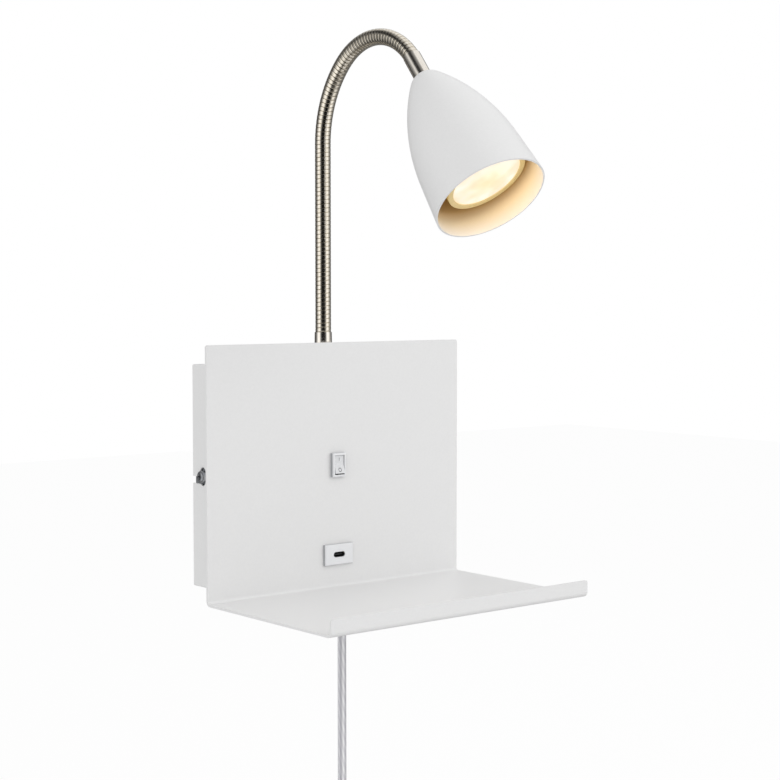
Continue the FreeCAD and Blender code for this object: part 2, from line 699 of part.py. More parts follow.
def holder_fixings():
    """Collar, U-shaped strip, nut and two screws that carry the lampholder inside the shade."""
    wall = "shade_wall*sin(crown_slope)"
    disc = rod("collar_blank", "shade_flat - shade_wall", "collar_length - %s" % wall, "0", "0", wall)
    hole = rod("collar_hole", "nipple_radius + seat_gap", "collar_length + 4", "0", "0", "-1")
    keep("shade_collar", cut("collar_cut", disc, hole), head_frame)
    leg = "(holder_half + side_play + holder_gauge)"
    drop = "holder_pivot + 5 - collar_length"
    plate = block("holder_plate", "holder_strip", "2*" + leg, "holder_gauge",
                  "-holder_strip/2", "-" + leg, "collar_length")
    solids = [plate]
    tools = [rod("plate_hole", "nipple_radius + hole_gap", "holder_gauge + 2",
                 "0", "0", "collar_length - 1")]
    for side, y in (("near", "-" + leg), ("far", leg + " - holder_gauge")):
        solids.append(block(side + "_leg", "holder_strip", "holder_gauge", drop,
                            "-holder_strip/2", y, "collar_length"))
        tools.append(rod(side + "_leg_hole", "holder_screw + hole_gap", "holder_gauge + 2",
                         "0", y + " - 1", "holder_pivot", "y"))
    keep("holder_bracket", cut("holder_sheet", fuse("holder_strip_folded", *solids), *tools), head_frame)
    body = hexagon("bracket_nut_body", "10", "2.6", "0", "0", "collar_length + holder_gauge")
    hole = rod("bracket_nut_hole", "nipple_radius + seat_gap", "5",
               "0", "0", "collar_length + holder_gauge - 1")
    keep("bracket_nut", cut("bracket_nut_cut", body, hole), head_frame)
    screws = []
    for side, sign in (("near", -1), ("far", 1)):
        head_y = leg if sign > 0 else "-%s - 1.4" % leg
        shank_y = leg + " - 5" if sign > 0 else "-" + leg
        head = rod(side + "_screw_head", "2*holder_screw - 0.2", "1.4",
                   "0", head_y, "holder_pivot", "y")
        shank = rod(side + "_screw_shank", "holder_screw", "5", "0", shank_y, "holder_pivot", "y")
        slot_y = leg + " + 0.8" if sign > 0 else "-%s - 1.8" % leg
        slot = block(side + "_screw_slot", "7", "1", "0.7", "-3.5", slot_y, "holder_pivot - 0.35")
        screws.append(cut(side + "_screw_cut", fuse(side + "_screw_blank", head, shank), slot))
    keep("holder_screws", fuse("both_holder_screws", *screws), head_frame)


def arc_lane(half_width, low, high):
    """Two opposite curved lanes for the lamp's pins, from the locked angle to the way in."""
    ring, angle = size("pin_circle"), size("twist_angle")

    def spot(radius, degrees):
        a = math.radians(degrees)
        return Vector(radius * math.cos(a), radius * math.sin(a), low)

    def cap(degrees, forward):
        """The tip of a lane's round end, just past its middle line."""
        a = math.radians(degrees)
        sign = half_width if forward else -half_width
        return spot(ring, degrees) + Vector(-math.sin(a) * sign, math.cos(a) * sign, 0)

    outer, inner = ring + half_width, ring - half_width
    edges = [
        Part.Arc(spot(outer, 0), spot(outer, angle / 2), spot(outer, angle)).toShape(),
        Part.Arc(spot(outer, angle), cap(angle, True), spot(inner, angle)).toShape(),
        Part.Arc(spot(inner, angle), spot(inner, angle / 2), spot(inner, 0)).toShape(),
        Part.Arc(spot(inner, 0), cap(0, False), spot(outer, 0)).toShape(),
    ]
    lane = Part.Face(Part.Wire(edges)).extrude(Vector(0, 0, high - low))
    other = lane.copy()
    other.rotate(Vector(), ALONG_Z, 180)
    return lane.fuse(other)


def lampholder():
    """The GU10 ceramic lampholder with its keyhole lanes, and the two contacts inside it."""
    rise, lip = size("holder_rise"), 2.5
    screw_depth = 5 - size("holder_gauge") - size("side_play")
    radius, half = size("holder_radius"), size("holder_half")
    floor = rise - lip - 6.5
    body = Part.makeCylinder(radius, 2 * rise, Vector(0, 0, -rise))
    flats = Part.makeBox(2 * radius, 2 * half, 2 * rise, Vector(-radius, -half, -rise))
    body = body.common(flats)
    body = body.cut(arc_lane(size("pin_head") + 0.3, floor, rise - lip))
    body = body.cut(arc_lane(size("pin_shank") + 0.3, rise - lip - 1, rise + 1))
    angle = math.radians(size("twist_angle"))
    for sign in (1, -1):
        way_in = Vector(sign * size("pin_circle") * math.cos(angle),
                        sign * size("pin_circle") * math.sin(angle), rise - lip - 0.5)
        body = body.cut(Part.makeCylinder(size("pin_head") + 0.45, 2 * rise, way_in))
        thread = Part.makeCylinder(size("holder_screw") + size("seat_gap"), screw_depth + 0.9,
                                   Vector(0, sign * (half + 0.5), 0), Vector(0, -sign, 0))
        body = body.cut(thread)
        wire = Part.makeCylinder(size("wire_radius") + 0.1, rise + floor + 1,
                                 Vector(sign * size("pin_circle"), 0, -rise - 1))
        body = body.cut(wire)
    keep("lampholder", made("lampholder", body, holder_frame))
    plates = [
        Part.makeBox(3.6, 3.6, 0.8, Vector(sign * size("pin_circle") - 1.8, -1.8, floor))
        for sign in (1, -1)
    ]
    keep("holder_contacts", made("holder_contacts", plates[0].fuse(plates[1]), holder_frame))


def bulb():
    """The GU10 lamp: flared housing, domed lens, board with its chips, and two pins."""
    base = size("holder_rise") + size("bulb_gap")
    wall, neck, ring = size("bulb_wall"), size("bulb_neck"), size("bulb_front")
    neck_end, end = base + size("bulb_neck_length"), base + size("bulb_length")
    lens_r, edge = size("lens_radius"), size("lens_edge")
    seat_z = end - edge - 0.6
    flare = Vector(0.84 * ring, 0, base + 0.68 * size("bulb_length"))
    outline = [Vector(0, 0, base), Vector(neck, 0, base), Vector(neck, 0, neck_end), flare,
               Vector(ring, 0, seat_z - 3), Vector(ring, 0, end)]
    inner = [Vector(lens_r + 0.1, 0, end), Vector(lens_r + 0.1, 0, seat_z),
             Vector(lens_r - 1.2, 0, seat_z), Vector(lens_r - 1.2, 0, seat_z - 2),
             Vector(flare.x - wall, 0, flare.z), Vector(neck - wall, 0, neck_end),
             Vector(neck - wall, 0, base + wall), Vector(0, 0, base + wall)]
    body = revolved([], outline + inner + outline[:1])
    for sign in (1, -1):
        hole = Part.makeCylinder(size("pin_shank"), 2 * wall + 2,
                                 Vector(sign * size("pin_circle"), 0, base - 1))
        body = body.cut(hole)
    keep("bulb_body", made("bulb_body", body, holder_frame))
    crown = size("lens_crown")
    middle = Vector(0.5 * lens_r, 0, seat_z + edge + 0.78 * crown)
    dome = Part.Arc(Vector(lens_r, 0, seat_z + edge), middle, Vector(1, 0, seat_z + edge + crown))
    close = [Vector(1, 0, seat_z + edge + crown), Vector(0, 0, seat_z + edge + crown),
             Vector(0, 0, seat_z), Vector(lens_r, 0, seat_z),
             Vector(lens_r, 0, seat_z + edge)]
    keep("bulb_lens", made("bulb_lens", revolved([dome.toShape()], close), holder_frame))
    board_r = flare.x - wall - 0.3
    board = Part.makeCylinder(board_r, 1.6, Vector(0, 0, flare.z - 0.4))
    for n in range(6):
        a = math.radians(60 * n)
        chip = Part.makeBox(2.8, 2.8, 0.8, Vector(9 * math.cos(a) - 1.4, 9 * math.sin(a) - 1.4,
                                                  flare.z + 1.2))
        board = board.fuse(chip)
    keep("bulb_board", made("bulb_board", board, holder_frame))
    pins = []
    for sign in (1, -1):
        x = sign * size("pin_circle")
        tip = base - size("pin_length")
        shank = Part.makeCylinder(size("pin_shank"), size("pin_length") + wall, Vector(x, 0, tip))
        foot = Part.makeCylinder(size("pin_head"), size("pin_head_length"), Vector(x, 0, tip))
        pins.append(shank.fuse(foot).removeSplitter())
    keep("bulb_pins", made("bulb_pins", pins[0].fuse(pins[1]), holder_frame))


# ---------------------------------------------------------------- switch and USB module


def framed_module(name, bezel, body, proud, deep, z):
    """A moulding with a bezel in front of the panel and a narrower body through it."""
    wide, high = bezel
    body_wide, body_high = body
    rim = centred(name + "_rim", wide, proud, high, "-device_side", "%s - %s" % (FRONT, proud), z)
    face = front_y - size(proud)
    edge = bevelled(name + "_edge", rim, size("bezel_edge"),
                    lambda e: near(e.CenterOfMass, y=face))
    rear = centred(name + "_body", body_wide, deep, body_high, "-device_side", FRONT, z)
    return fuse(name + "_moulding", edge, rear)


def rocker_switch():
    """The switch moulding with its well, its two blades, and the rocker on its pivot."""
    moulding = framed_module("switch", ("bezel_wide", "bezel_long"),
                             ("switch_body_wide", "switch_body_long"),
                             "bezel_proud", "switch_body_deep", "switch_height")
    well_wide = "switch_body_wide - 2*switch_wall"
    well = centred("switch_well_cut", well_wide, "switch_well", "switch_body_long - 2*switch_wall",
                   "-device_side", FRONT + " - bezel_proud", "switch_height")
    pivot_y = FRONT + " - bezel_proud + 2.2"
    bores = rod("switch_pivot_bore", "rocker_pin + rocker_pin_gap", "switch_body_wide - 0.4",
                "-device_side - switch_body_wide/2 + 0.2", pivot_y, "switch_height", "x")
    keep("switch_housing", cut("switch_cut", moulding, well, bores))
    blades = []
    for n, z in enumerate(("switch_height + 3.6", "switch_height - 3.6")):
        blades.append(centred("blade_%d" % n, "4.8", "6.5", "0.8", "-device_side",
                              FRONT + " + switch_body_deep", z))
    keep("switch_blades", fuse("both_blades", *blades))
    half, angle = size("rocker_half"), math.radians(size("rocker_angle"))
    valley, skirt, keel = -1.4, 1.0, 3.6
    tip = valley - half * math.tan(angle)
    outline = [(valley, 0), (tip, half), (skirt, half), (keel, 0.62 * half), (keel, -0.62 * half),
               (skirt, -half), (tip, -half), (valley, 0)]
    wide = size("switch_body_wide") - 2 * size("switch_wall") - 2 * size("rocker_side_gap")
    points = [Vector(-wide / 2, y, z) for y, z in outline]
    body = Part.Face(Part.makePolygon(points)).extrude(Vector(wide, 0, 0))
    pin_long = size("switch_body_wide") - 0.6
    pin = Part.makeCylinder(size("rocker_pin"), pin_long, Vector(-pin_long / 2, 0, 0), ALONG_X)
    place = FreeCAD.Placement(
        Vector(-size("device_side"), front_y - size("bezel_proud") + 2.2, size("switch_height")),
        FreeCAD.Rotation(ALONG_X, -size("rocker_angle")),
    )
    keep("switch_rocker", made("switch_rocker", body.fuse(pin), place))


def stadium(name, wide, high, deep, y, z):
    """A flat-sided hole or plug with round ends, running along Y, on the modules' middle line."""
    bar = centred(name + "_bar", "%s - (%s)" % (wide, high), deep, high, "-device_side", y, z)
    ends = [
        rod("%s_end_%d" % (name, n), "(%s)/2" % high, deep,
            "-device_side %s (%s - (%s))/2" % (sign, wide, high), y, z, "y")
        for n, sign in enumerate(("-", "+"))
    ]
    return fuse(name, bar, *ends)


def usb_module():
    """The USB-C module: moulding, steel shell and contact tongue."""
    moulding = framed_module("usb", ("usb_wide", "usb_high"), ("usb_body_wide", "usb_body_high"),
                             "usb_proud", "usb_body_deep", "-usb_drop")
    face = FRONT + " - usb_proud"
    port = stadium("usb_port", "port_wide", "port_high", "port_deep", face, "-usb_drop")
    keep("usb_housing", cut("usb_cut", moulding, port))
    tube = stadium("usb_tube", "port_wide", "port_high", "port_deep - 0.6", face + " + 0.6", "-usb_drop")
    lumen = stadium("usb_lumen", "port_wide - 2*port_shell", "port_high - 2*port_shell",
                    "port_deep - 0.6 - port_shell", face + " + 0.6", "-usb_drop")
    keep("usb_shell", cut("usb_shell_cut", tube, lumen))
    tongue = centred("usb_tongue_bar", "port_wide - 2.6", "port_deep - 1.5 - port_shell", "0.7",
                     "-device_side", face + " + 1.5", "-usb_drop")
    keep("usb_tongue", tongue)


# ---------------------------------------------------------------- inside the box


def box_contents():
    """Mains to 5 V module and terminal block, both against the box's front wall."""
    floor = BACK + " + box_gauge"
    case = centred("driver_case", "driver_long", "driver_deep", "driver_high",
                   "-driver_left", floor, "-driver_drop")
    case = rounded("driver_rounded", case, 1.5, lambda e: lies_along(e, ALONG_Y))
    keep("usb_driver", case)
    solid = centred("block_case", "block_long", "block_deep", "block_high",
                    "block_right", floor, "-block_drop")
    ways, screws = [], []
    for n in range(-2, 3):
        x = "block_right + %d*block_pitch" % n
        ways.append(rod("block_way_%d" % (n + 2), "1.8", "block_high + 2",
                        x, floor + " + block_deep*0.4", "-block_drop - block_high/2 - 1"))
        for m, sign in enumerate(("-", "+")):
            z = "-block_drop %s block_high/4" % sign
            ways.append(rod("block_shaft_%d_%d" % (n + 2, m), "terminal_radius + 0.1", "block_deep",
                            x, floor + " + block_deep*0.4", z, "y"))
            screw = rod("terminal_%d_%d" % (n + 2, m), "terminal_radius", "block_deep*0.3",
                        x, floor + " + block_deep*0.6", z, "y")
            slot = centred("terminal_slot_%d_%d" % (n + 2, m), "4.4", "1", "0.7", x,
                           floor + " + block_deep*0.9 - 0.7", z)
            screws.append(cut("terminal_cut_%d_%d" % (n + 2, m), screw, slot))
    keep("terminal_block", cut("block_cut", solid, *ways))
    keep("terminal_screws", fuse("all_terminals", *screws))


def tube_along(points, radius):
    """A round wire along straight runs joined by arcs of 0.45 of the shorter run."""
    edges, start = [], points[0]
    for before, corner, after in zip(points, points[1:], points[2:]):
        into, out = (corner - before), (after - corner)
        cutback = 0.45 * min(into.Length, out.Length)
        into.normalize()
        out.normalize()
        bend_in, bend_out = corner - into * cutback, corner + out * cutback
        half_turn = into.getAngle(out) / 2
        arc_radius = cutback / math.tan(half_turn)
        bisector = out - into
        bisector.normalize()
        centre = corner + bisector * (arc_radius / math.cos(half_turn))
        middle = centre - bisector * arc_radius
        edges += [join(start, bend_in), Part.Arc(bend_in, middle, bend_out).toShape()]
        start = bend_out
    edges.append(join(start, points[-1]))
    path = Part.Wire(edges)
    ring = Part.Wire([Part.makeCircle(radius, points[0], points[1] - points[0])])
    return path.makePipeShell([ring], True, False)


def wires():
    """Single wires inside the box and the shade, each a short formed run."""
    r = size("wire_radius")
    y_front = -size("box_depth") + size("box_gauge")
    way_y = y_front + 0.4 * size("block_deep")
    block_x = [size("block_right") + n * size("block_pitch") for n in range(-2, 3)]
    block_top = -size("block_drop") + size("block_high") / 2
    block_low = -size("block_drop") - size("block_high") / 2
    lead_top = -size("box_height") / 2 + size("lead_inside")
    half_lead = size("cord_width") / 4
    mains = []
    for n, sign in enumerate((-1, 1)):
        x, rise = size("cord_side") + sign * half_lead, 8.5 - 5.5 * n
        mains.append([Vector(x, axis_y, lead_top), Vector(x, axis_y, lead_top + rise),
                      Vector(x + 11 + 3 * n, axis_y - 4, lead_top + rise + 2 - 4 * n),
                      Vector(block_x[n], way_y, block_low - 5 - 2 * n),
                      Vector(block_x[n], way_y, block_low + 5)])
    keep("mains_wires", made("mains_wires", group(mains, r)))
    blade_y = front_y + size("switch_body_deep") + 6.5 + r
    middle, side = size("switch_height"), -size("device_side")
    to_switch = [
        [Vector(block_x[0], way_y, block_top - 5), Vector(block_x[0], way_y, block_top + 12),
         Vector(26, blade_y - 4, middle - 5), Vector(8, blade_y + 1, middle - 4.5),
         Vector(side, blade_y, middle - 3.6)],
        [Vector(block_x[4], way_y, block_top - 5), Vector(block_x[4], way_y, block_top + 10),
         Vector(block_x[2], blade_y + 1, middle), Vector(10, blade_y + 1, middle + 6),
         Vector(side, blade_y, middle + 3.6)],
    ]
    keep("switch_wires", made("switch_wires", group(to_switch, r)))
    driver_side = -size("driver_left") + size("driver_long") / 2
    usb_back = front_y + size("usb_body_deep")
    low_voltage = []
    for n in (0, 1):
        z = -size("usb_drop") + 2.5 - 5 * n
        low_voltage.append([Vector(driver_side, y_front + 12, z + 3),
                            Vector(driver_side + 8, y_front + 12, z + 3),
                            Vector(side - 8, usb_back + 5, z + 1),
                            Vector(side - 3 + 3 * n, usb_back + 4.5, z),
                            Vector(side - 3 + 3 * n, usb_back, z)])
    keep("usb_wires", made("usb_wires", group(low_voltage, r)))
    to_driver = []
    for n in (0, 1):
        x, fall = block_x[2 + n], 5.5 * n
        end_z = -size("driver_drop") + 6.5 - fall
        to_driver.append([Vector(x, way_y, block_low + 5), Vector(x, way_y, block_low - 6 - 2 * n),
                          Vector(x - 9, -9, block_low - 11 - 0.8 * fall),
                          Vector(10, -6, block_low - 8 - fall), Vector(driver_side + 10, -13, end_z),
                          Vector(driver_side, -13, end_z)])
    keep("driver_wires", made("driver_wires", group(to_driver, r)))
    nipple_low = size("box_height") / 2 - size("nipple_below")
    to_neck = []
    for n, way in enumerate((1, 3)):
        x = block_x[way]
        lane = (2 * n - 1) * 1.4
        to_neck.append([Vector(x, way_y, block_top - 5), Vector(x, way_y, block_top + 28 + 4 * n),
                        Vector(30 + 6 * n, axis_y - 5, 26 + 6 * n), Vector(8 + 4 * n, axis_y - 2, 42 + 4 * n),
                        Vector(lane, axis_y, nipple_low - 7 + 0.5 * n), Vector(lane, axis_y, nipple_low + 10)])
    keep("neck_wires", made("neck_wires", group(to_neck, r)))
    nose_end = size("collar_length") + size("holder_gauge") + 3
    lean = FreeCAD.Placement(Vector(0, 0, size("holder_pivot")),
                             FreeCAD.Rotation(ALONG_Y, size("holder_lean")))
    in_head = []
    for sign in (-1, 1):
        x = sign * size("pin_circle")
        in_head.append([Vector(1.4 * sign, 0, 4), Vector(1.4 * sign, 0, nose_end + 1.5),
                        lean.multVec(Vector(x, 0, -size("holder_rise") - 1.6)),
                        lean.multVec(Vector(x, 0, -size("holder_rise") + 1.6))])
    keep("head_wires", made("head_wires", group(in_head, r), head_frame))


def group(routes, radius):
    """Separate wires in one node."""
    solids = [tube_along(route, radius) for route in routes]
    return solids[0].fuse(solids[1:])


# ---------------------------------------------------------------- mains lead


def lead_section(x, y, z):
    """The lead's flat outline, wide along X, as a wire at a height."""
    r = size("cord_thick") / 2
    run = size("cord_width") / 2 - r
    corners = [Vector(x - run, y - r, z), Vector(x + run, y - r, z),
               Vector(x + run, y + r, z), Vector(x - run, y + r, z)]
    right = Part.Arc(corners[1], Vector(x + run + r, y, z), corners[2]).toShape()
    left = Part.Arc(corners[3], Vector(x - run - r, y, z), corners[0]).toShape()
    return Part.Wire([join(corners[0], corners[1]), right, join(corners[2], corners[3]), left])


def flat_lead(label, z_high, z_low):
    """A straight stretch of the flat lead, hanging down."""
    face = Part.Face(lead_section(size("cord_side"), axis_y, z_high))
    solid = face.extrude(Vector(0, 0, z_low - z_high))
    section = face.Area * (z_high - z_low)
    print("%s: length %.1f mm, volume over section times length %.4f"
          % (label, z_high - z_low, solid.Volume / section))
    keep(label, made(label, solid))


box_floor = -size("box_height") / 2
gland_end = box_floor - size("gland_length")


def cord_gland():
    """The moulded strain relief in the box's floor: collar, tapered sleeve and inner flange."""
    low = "-box_height/2"
    y = "-box_depth/2"
    collar = rod("gland_collar_disc", "gland_collar", "2.5", "cord_side", y, low + " - 2.5")
    neck = rod("gland_neck_disc", "gland_neck", "box_gauge", "cord_side", y, low)
    flange = rod("gland_flange", "gland_collar", "3", "cord_side", y, low + " + box_gauge")
    sleeve = cone("gland_sleeve", "gland_tip", "gland_neck + 0.6", "gland_length - 2.5",
                  "cord_side", y, low + " - gland_length")
    body = fuse("gland_solid", collar, neck, flange, sleeve)
    gap = "2*gland_gap"
    wide, thick = "(cord_width + %s)" % gap, "(cord_thick + %s)" % gap
    deep = "gland_length + box_gauge + 5"
    bar = block("gland_bar", "%s - %s" % (wide, thick), thick, deep,
                "cord_side - (%s - %s)/2" % (wide, thick), "%s - %s/2" % (y, thick),
                low + " - gland_length - 1")
    ends = [rod("gland_end_%d" % n, "%s/2" % thick, deep,
                "cord_side %s (%s - %s)/2" % (sign, wide, thick), y, low + " - gland_length - 1")
            for n, sign in enumerate(("-", "+"))]
    keep("cord_gland", cut("gland_cut", body, fuse("gland_way", bar, *ends)))


def coil_path():
    """Half-turn arcs: a spiral in, one leaning half turn that climbs a layer, and a spiral out."""
    step = size("coil_pitch") / 2
    inwards, outwards = 6, 7
    radii = [size("coil_radius") - n * step for n in range(inwards + 1)]
    radii += [radii[inwards - 1] + n * step for n in range(outwards)]
    layer = size("coil_pitch")
    point = Vector(size("cord_side"), axis_y, -size("coil_drop"))
    run_in = point + Vector(0, 0, size("cord_width"))
    edges = [join(run_in, point)]
    down = True
    for n, radius in enumerate(radii):
        side = -1 if down else 1
        climb = -layer if n == inwards else 0.0
        end = point + Vector(side * 2 * radius, climb, 0)
        reach = math.hypot(radius, climb / 2)
        middle = (point + end) * 0.5 + Vector(0, 0, -reach if down else reach)
        edges.append(Part.Arc(point, middle, end).toShape())
        point, down = end, not down
    tail = point + Vector(0, 0, -size("coil_tail"))
    edges.append(join(point, tail))
    return Part.Wire(edges), run_in, tail, radii


def cord_coil():
    """The unseen length, wound in two layers, with its straight end down to the plug."""
    path, run_in, tail, radii = coil_path()
    radius = size("cord_width") / 2
    ring = Part.Wire([Part.makeCircle(radius, run_in, Vector(0, 0, 1))])
    solid = path.makePipeShell([ring], True, False)
    keep("cord_coil", made("cord_coil", solid))
    spacing = radius / 2
    points = path.discretize(Distance=spacing)
    apart = int(3 * size("cord_width") / spacing)
    least = min(
        (a - b).Length for i, a in enumerate(points) for b in points[i + apart:]
    )
    print("coil: length %.0f mm, radii %.1f to %.1f mm, least gap to itself %.2f mm, volume ratio %.4f"
          % (path.Length, min(radii), max(radii), least - 2 * radius,
             solid.Volume / (math.pi * radius ** 2 * path.Length)))
    return tail, radii


def coil_tie(radii):
    """The band round the bundle of turns, at the coil's left side."""
    lead, gap, gauge = size("cord_width") / 2, size("tie_gap"), size("tie_gauge")
    pitch = size("coil_pitch")
    left_ends = [size("cord_side") - 2 * radii[0]]
    x = left_ends[0]
    for n, radius in enumerate(radii[1:], 1):
        x += 2 * radius if n % 2 else -2 * radius
        if n % 2 == 0:
            left_ends.append(x)
    low_x, high_x = min(left_ends) - lead - gap, max(left_ends) + lead + gap
    low_y, high_y = axis_y - pitch - lead - gap, axis_y + lead + gap
    z = -size("coil_drop") - size("tie_width") / 2
    outer = Part.makeBox(high_x - low_x + 2 * gauge, high_y - low_y + 2 * gauge, size("tie_width"),
                         Vector(low_x - gauge, low_y - gauge, z))
    outer = outer.makeFillet(2 * gauge, [e for e in outer.Edges if lies_along(e, ALONG_Z)])
    inner = Part.makeBox(high_x - low_x, high_y - low_y, size("tie_width") + 2,
                         Vector(low_x, low_y, z - 1))
    keep("coil_tie", made("coil_tie", outer.cut(inner)))


def plug(tail):
    """The flat two-pin plug on the lead's end, pointing down."""
    wide, thick, length = size("plug_width"), size("plug_thick"), size("plug_length")
    neck = size("cord_width") / 2 + 1.6

    def outline(half_x, half_y, z):
        corners = [Vector(sx * half_x, sy * half_y, z) for sx, sy in ((-1, -1), (1, -1), (1, 1), (-1, 1))]
        return Part.makePolygon(corners + corners[:1])

    shoulder = length * 0.42
    body = Part.makeLoft([outline(neck, neck, 0), outline(wide / 2, thick / 2, -shoulder)], True, True)
    face = Part.makeLoft([outline(wide / 2, thick / 2, -shoulder),
                          outline(wide / 2, thick / 2, -length)], True, True)
    body = body.fuse(face).removeSplitter()
    body = body.makeFillet(2.2, [e for e in body.Edges if e.BoundBox.ZLength > 5])
    pins = []
    for sign in (-1, 1):
        x = sign * size("plug_pin_spacing") / 2
        pin = Part.makeCylinder(size("plug_pin_radius"), size("plug_pin_length"),
                                Vector(x, 0, -length), Vector(0, 0, -1))
        tip = [e for e in pin.Edges if near(e.CenterOfMass, z=-length - size("plug_pin_length"))]
        pins.append(pin.makeFillet(0.5 * size("plug_pin_radius"), tip))
    place = FreeCAD.Placement(tail, FreeCAD.Rotation())
    keep("plug_body", made("plug_body", body, place))
    keep("plug_pins", made("plug_pins", pins[0].fuse(pins[1]), place))


# ---------------------------------------------------------------- build, check, write

shelf_panel()
panel_fixings()
wall_box()
wall_bracket()
side_screws()
base_ferrule()
hose_segments()
head_ferrule()
lamp_shade()
holder_fixings()
lampholder()
bulb()
rocker_switch()
usb_module()
box_contents()
wires()
cord_gland()
flat_lead("cord_inside", box_floor + size("lead_inside"), gland_end)
flat_lead("mains_cord", gland_end, -size("coil_drop") + size("cord_width"))
tail_end, turn_radii = cord_coil()
coil_tie(turn_radii)
plug(tail_end)

doc.recompute()

for item in doc.Objects:
    if "Invalid" in item.State or "Error" in item.State:
        raise RuntimeError("%s did not build: %s" % (item.Label, item.State))
for label, item in parts.items():
    if item.Shape.isNull() or not item.Shape.isValid() or not item.Shape.Solids:
        raise RuntimeError("%s has no valid solid" % label)

os.makedirs("parts", exist_ok=True)
for label, item in parts.items():
    item.Shape.exportStep("parts/%s.step" % label)

print("hinges on the neck, mm from the base ferrule:", [round(s, 2) for s in hinge_at])
for n, s in enumerate(hinge_at, 1):
    frame = on_neck(s)
    along = frame.Rotation.multVec(ALONG_Z)
    print("hinge %d: y %.3f z %.3f, heading %.4f %.4f" % (n, frame.Base.y, frame.Base.z, along.y, along.z))
print("head frame:", head_frame.Base, head_frame.Rotation.multVec(ALONG_Z))
lean = holder_frame.Rotation.multVec(ALONG_Z)
print("bulb axis: %.5f %.5f %.5f through %.4f %.4f %.4f" % (*lean, *holder_frame.Base))
print("%d sub-parts" % len(parts))
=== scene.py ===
import math
import bmesh
import bpy
import numpy as np
from mathutils import Matrix, Vector


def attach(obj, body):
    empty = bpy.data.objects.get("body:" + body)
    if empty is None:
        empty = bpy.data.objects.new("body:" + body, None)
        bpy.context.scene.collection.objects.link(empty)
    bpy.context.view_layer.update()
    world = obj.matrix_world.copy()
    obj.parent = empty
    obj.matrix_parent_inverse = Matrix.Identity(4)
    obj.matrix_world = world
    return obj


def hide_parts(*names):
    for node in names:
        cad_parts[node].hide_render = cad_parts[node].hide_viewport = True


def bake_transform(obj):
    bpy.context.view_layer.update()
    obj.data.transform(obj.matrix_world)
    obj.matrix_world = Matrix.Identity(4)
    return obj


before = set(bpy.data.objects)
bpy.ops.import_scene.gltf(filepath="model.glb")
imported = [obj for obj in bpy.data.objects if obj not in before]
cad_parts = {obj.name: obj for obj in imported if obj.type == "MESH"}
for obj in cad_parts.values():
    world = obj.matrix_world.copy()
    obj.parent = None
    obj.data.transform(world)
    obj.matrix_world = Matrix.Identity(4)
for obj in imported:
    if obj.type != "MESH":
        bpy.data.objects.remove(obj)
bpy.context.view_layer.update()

# ------------------------------------------------------------------ camera

# Fitted to the straight edges of the panel, box and shelf: 40 degrees to the left, 3.4 degrees down.
VIEW_YAW, VIEW_PITCH = 0.6884, 0.0587
CAMERA_PLACE = Vector((-0.65362, -0.87680, 0.11253))
towards = Vector((math.sin(VIEW_YAW) * math.cos(VIEW_PITCH),
                  math.cos(VIEW_YAW) * math.cos(VIEW_PITCH), -math.sin(VIEW_PITCH)))
camera = bpy.data.objects.new("camera", bpy.data.cameras.new("camera"))
camera.data.lens = 77.87
camera.data.sensor_width = 36.0
camera.data.shift_y = 1.5 / 780
camera.data.clip_end = 20.0
camera.matrix_world = (Matrix.Translation(CAMERA_PLACE)
                       @ towards.to_track_quat("-Z", "Y").to_matrix().to_4x4())
bpy.context.scene.collection.objects.link(camera)
bpy.context.scene.camera = camera
bpy.context.scene.view_settings.view_transform = "Standard"

# ------------------------------------------------------------------ nodes and colours


def linear(code):
    """An sRGB hex colour as linear red, green, blue and alpha."""
    parts = [int(code[i:i + 2], 16) / 255 for i in (1, 3, 5)]
    return tuple(c / 12.92 if c <= 0.04045 else ((c + 0.055) / 1.055) ** 2.4 for c in parts) + (1.0,)


def add(tree, kind, settings=None, links=None):
    """Adds a node, sets its attributes and input values, and links its inputs to other sockets."""
    node = tree.nodes.new(kind)
    for key, value in (settings or {}).items():
        if isinstance(key, str) and hasattr(node, key) and key not in node.inputs:
            setattr(node, key, value)
        else:
            node.inputs[key].default_value = value
    for key, socket in (links or {}).items():
        tree.links.new(socket, node.inputs[key])
    return node


def ramp(tree, factor, stops):
    """A colour ramp through stops of position and hex colour."""
    node = add(tree, "ShaderNodeValToRGB", links={0: factor})
    elements = node.color_ramp.elements
    while len(elements) < len(stops):
        elements.new(0.5)
    for element, (place, code) in zip(elements, stops):
        element.position = place
        element.color = linear(code)
    return node.outputs[0]


def surface(name, color, roughness, **sockets):
    """A material with one Principled shader, returned with its tree, shader and coordinates."""
    made = bpy.data.materials.new(name)
    made.use_nodes = True
    tree = made.node_tree
    shader = tree.nodes["Principled BSDF"]
    shader.inputs["Base Color"].default_value = linear(color)
    shader.inputs["Roughness"].default_value = roughness
    for key, value in sockets.items():
        shader.inputs[key.replace("_", " ")].default_value = value
    where = add(tree, "ShaderNodeTexCoord")
    made.diffuse_color = linear(color)
    return made, tree, shader, where


def mottle(tree, shader, vector, grain, shades, rough, bump, detail=3.0):
    """Noise of a grain in metres that varies the colour and the roughness and lifts the surface."""
    noise = add(tree, "ShaderNodeTexNoise", {"Scale": 1 / grain, "Detail": detail}, {"Vector": vector})
    tree.links.new(ramp(tree, noise.outputs[0], [(0.3, shades[0]), (0.7, shades[1])]),
                   shader.inputs["Base Color"])
    spread = add(tree, "ShaderNodeMapRange",
                 {"From Min": 0.3, "From Max": 0.7, "To Min": rough[0], "To Max": rough[1]},
                 {"Value": noise.outputs[0]})
    tree.links.new(spread.outputs[0], shader.inputs["Roughness"])
    lift = add(tree, "ShaderNodeBump", {"Strength": bump[0], "Distance": bump[1]},
               {"Height": noise.outputs[0]})
    tree.links.new(lift.outputs[0], shader.inputs["Normal"])
    return noise


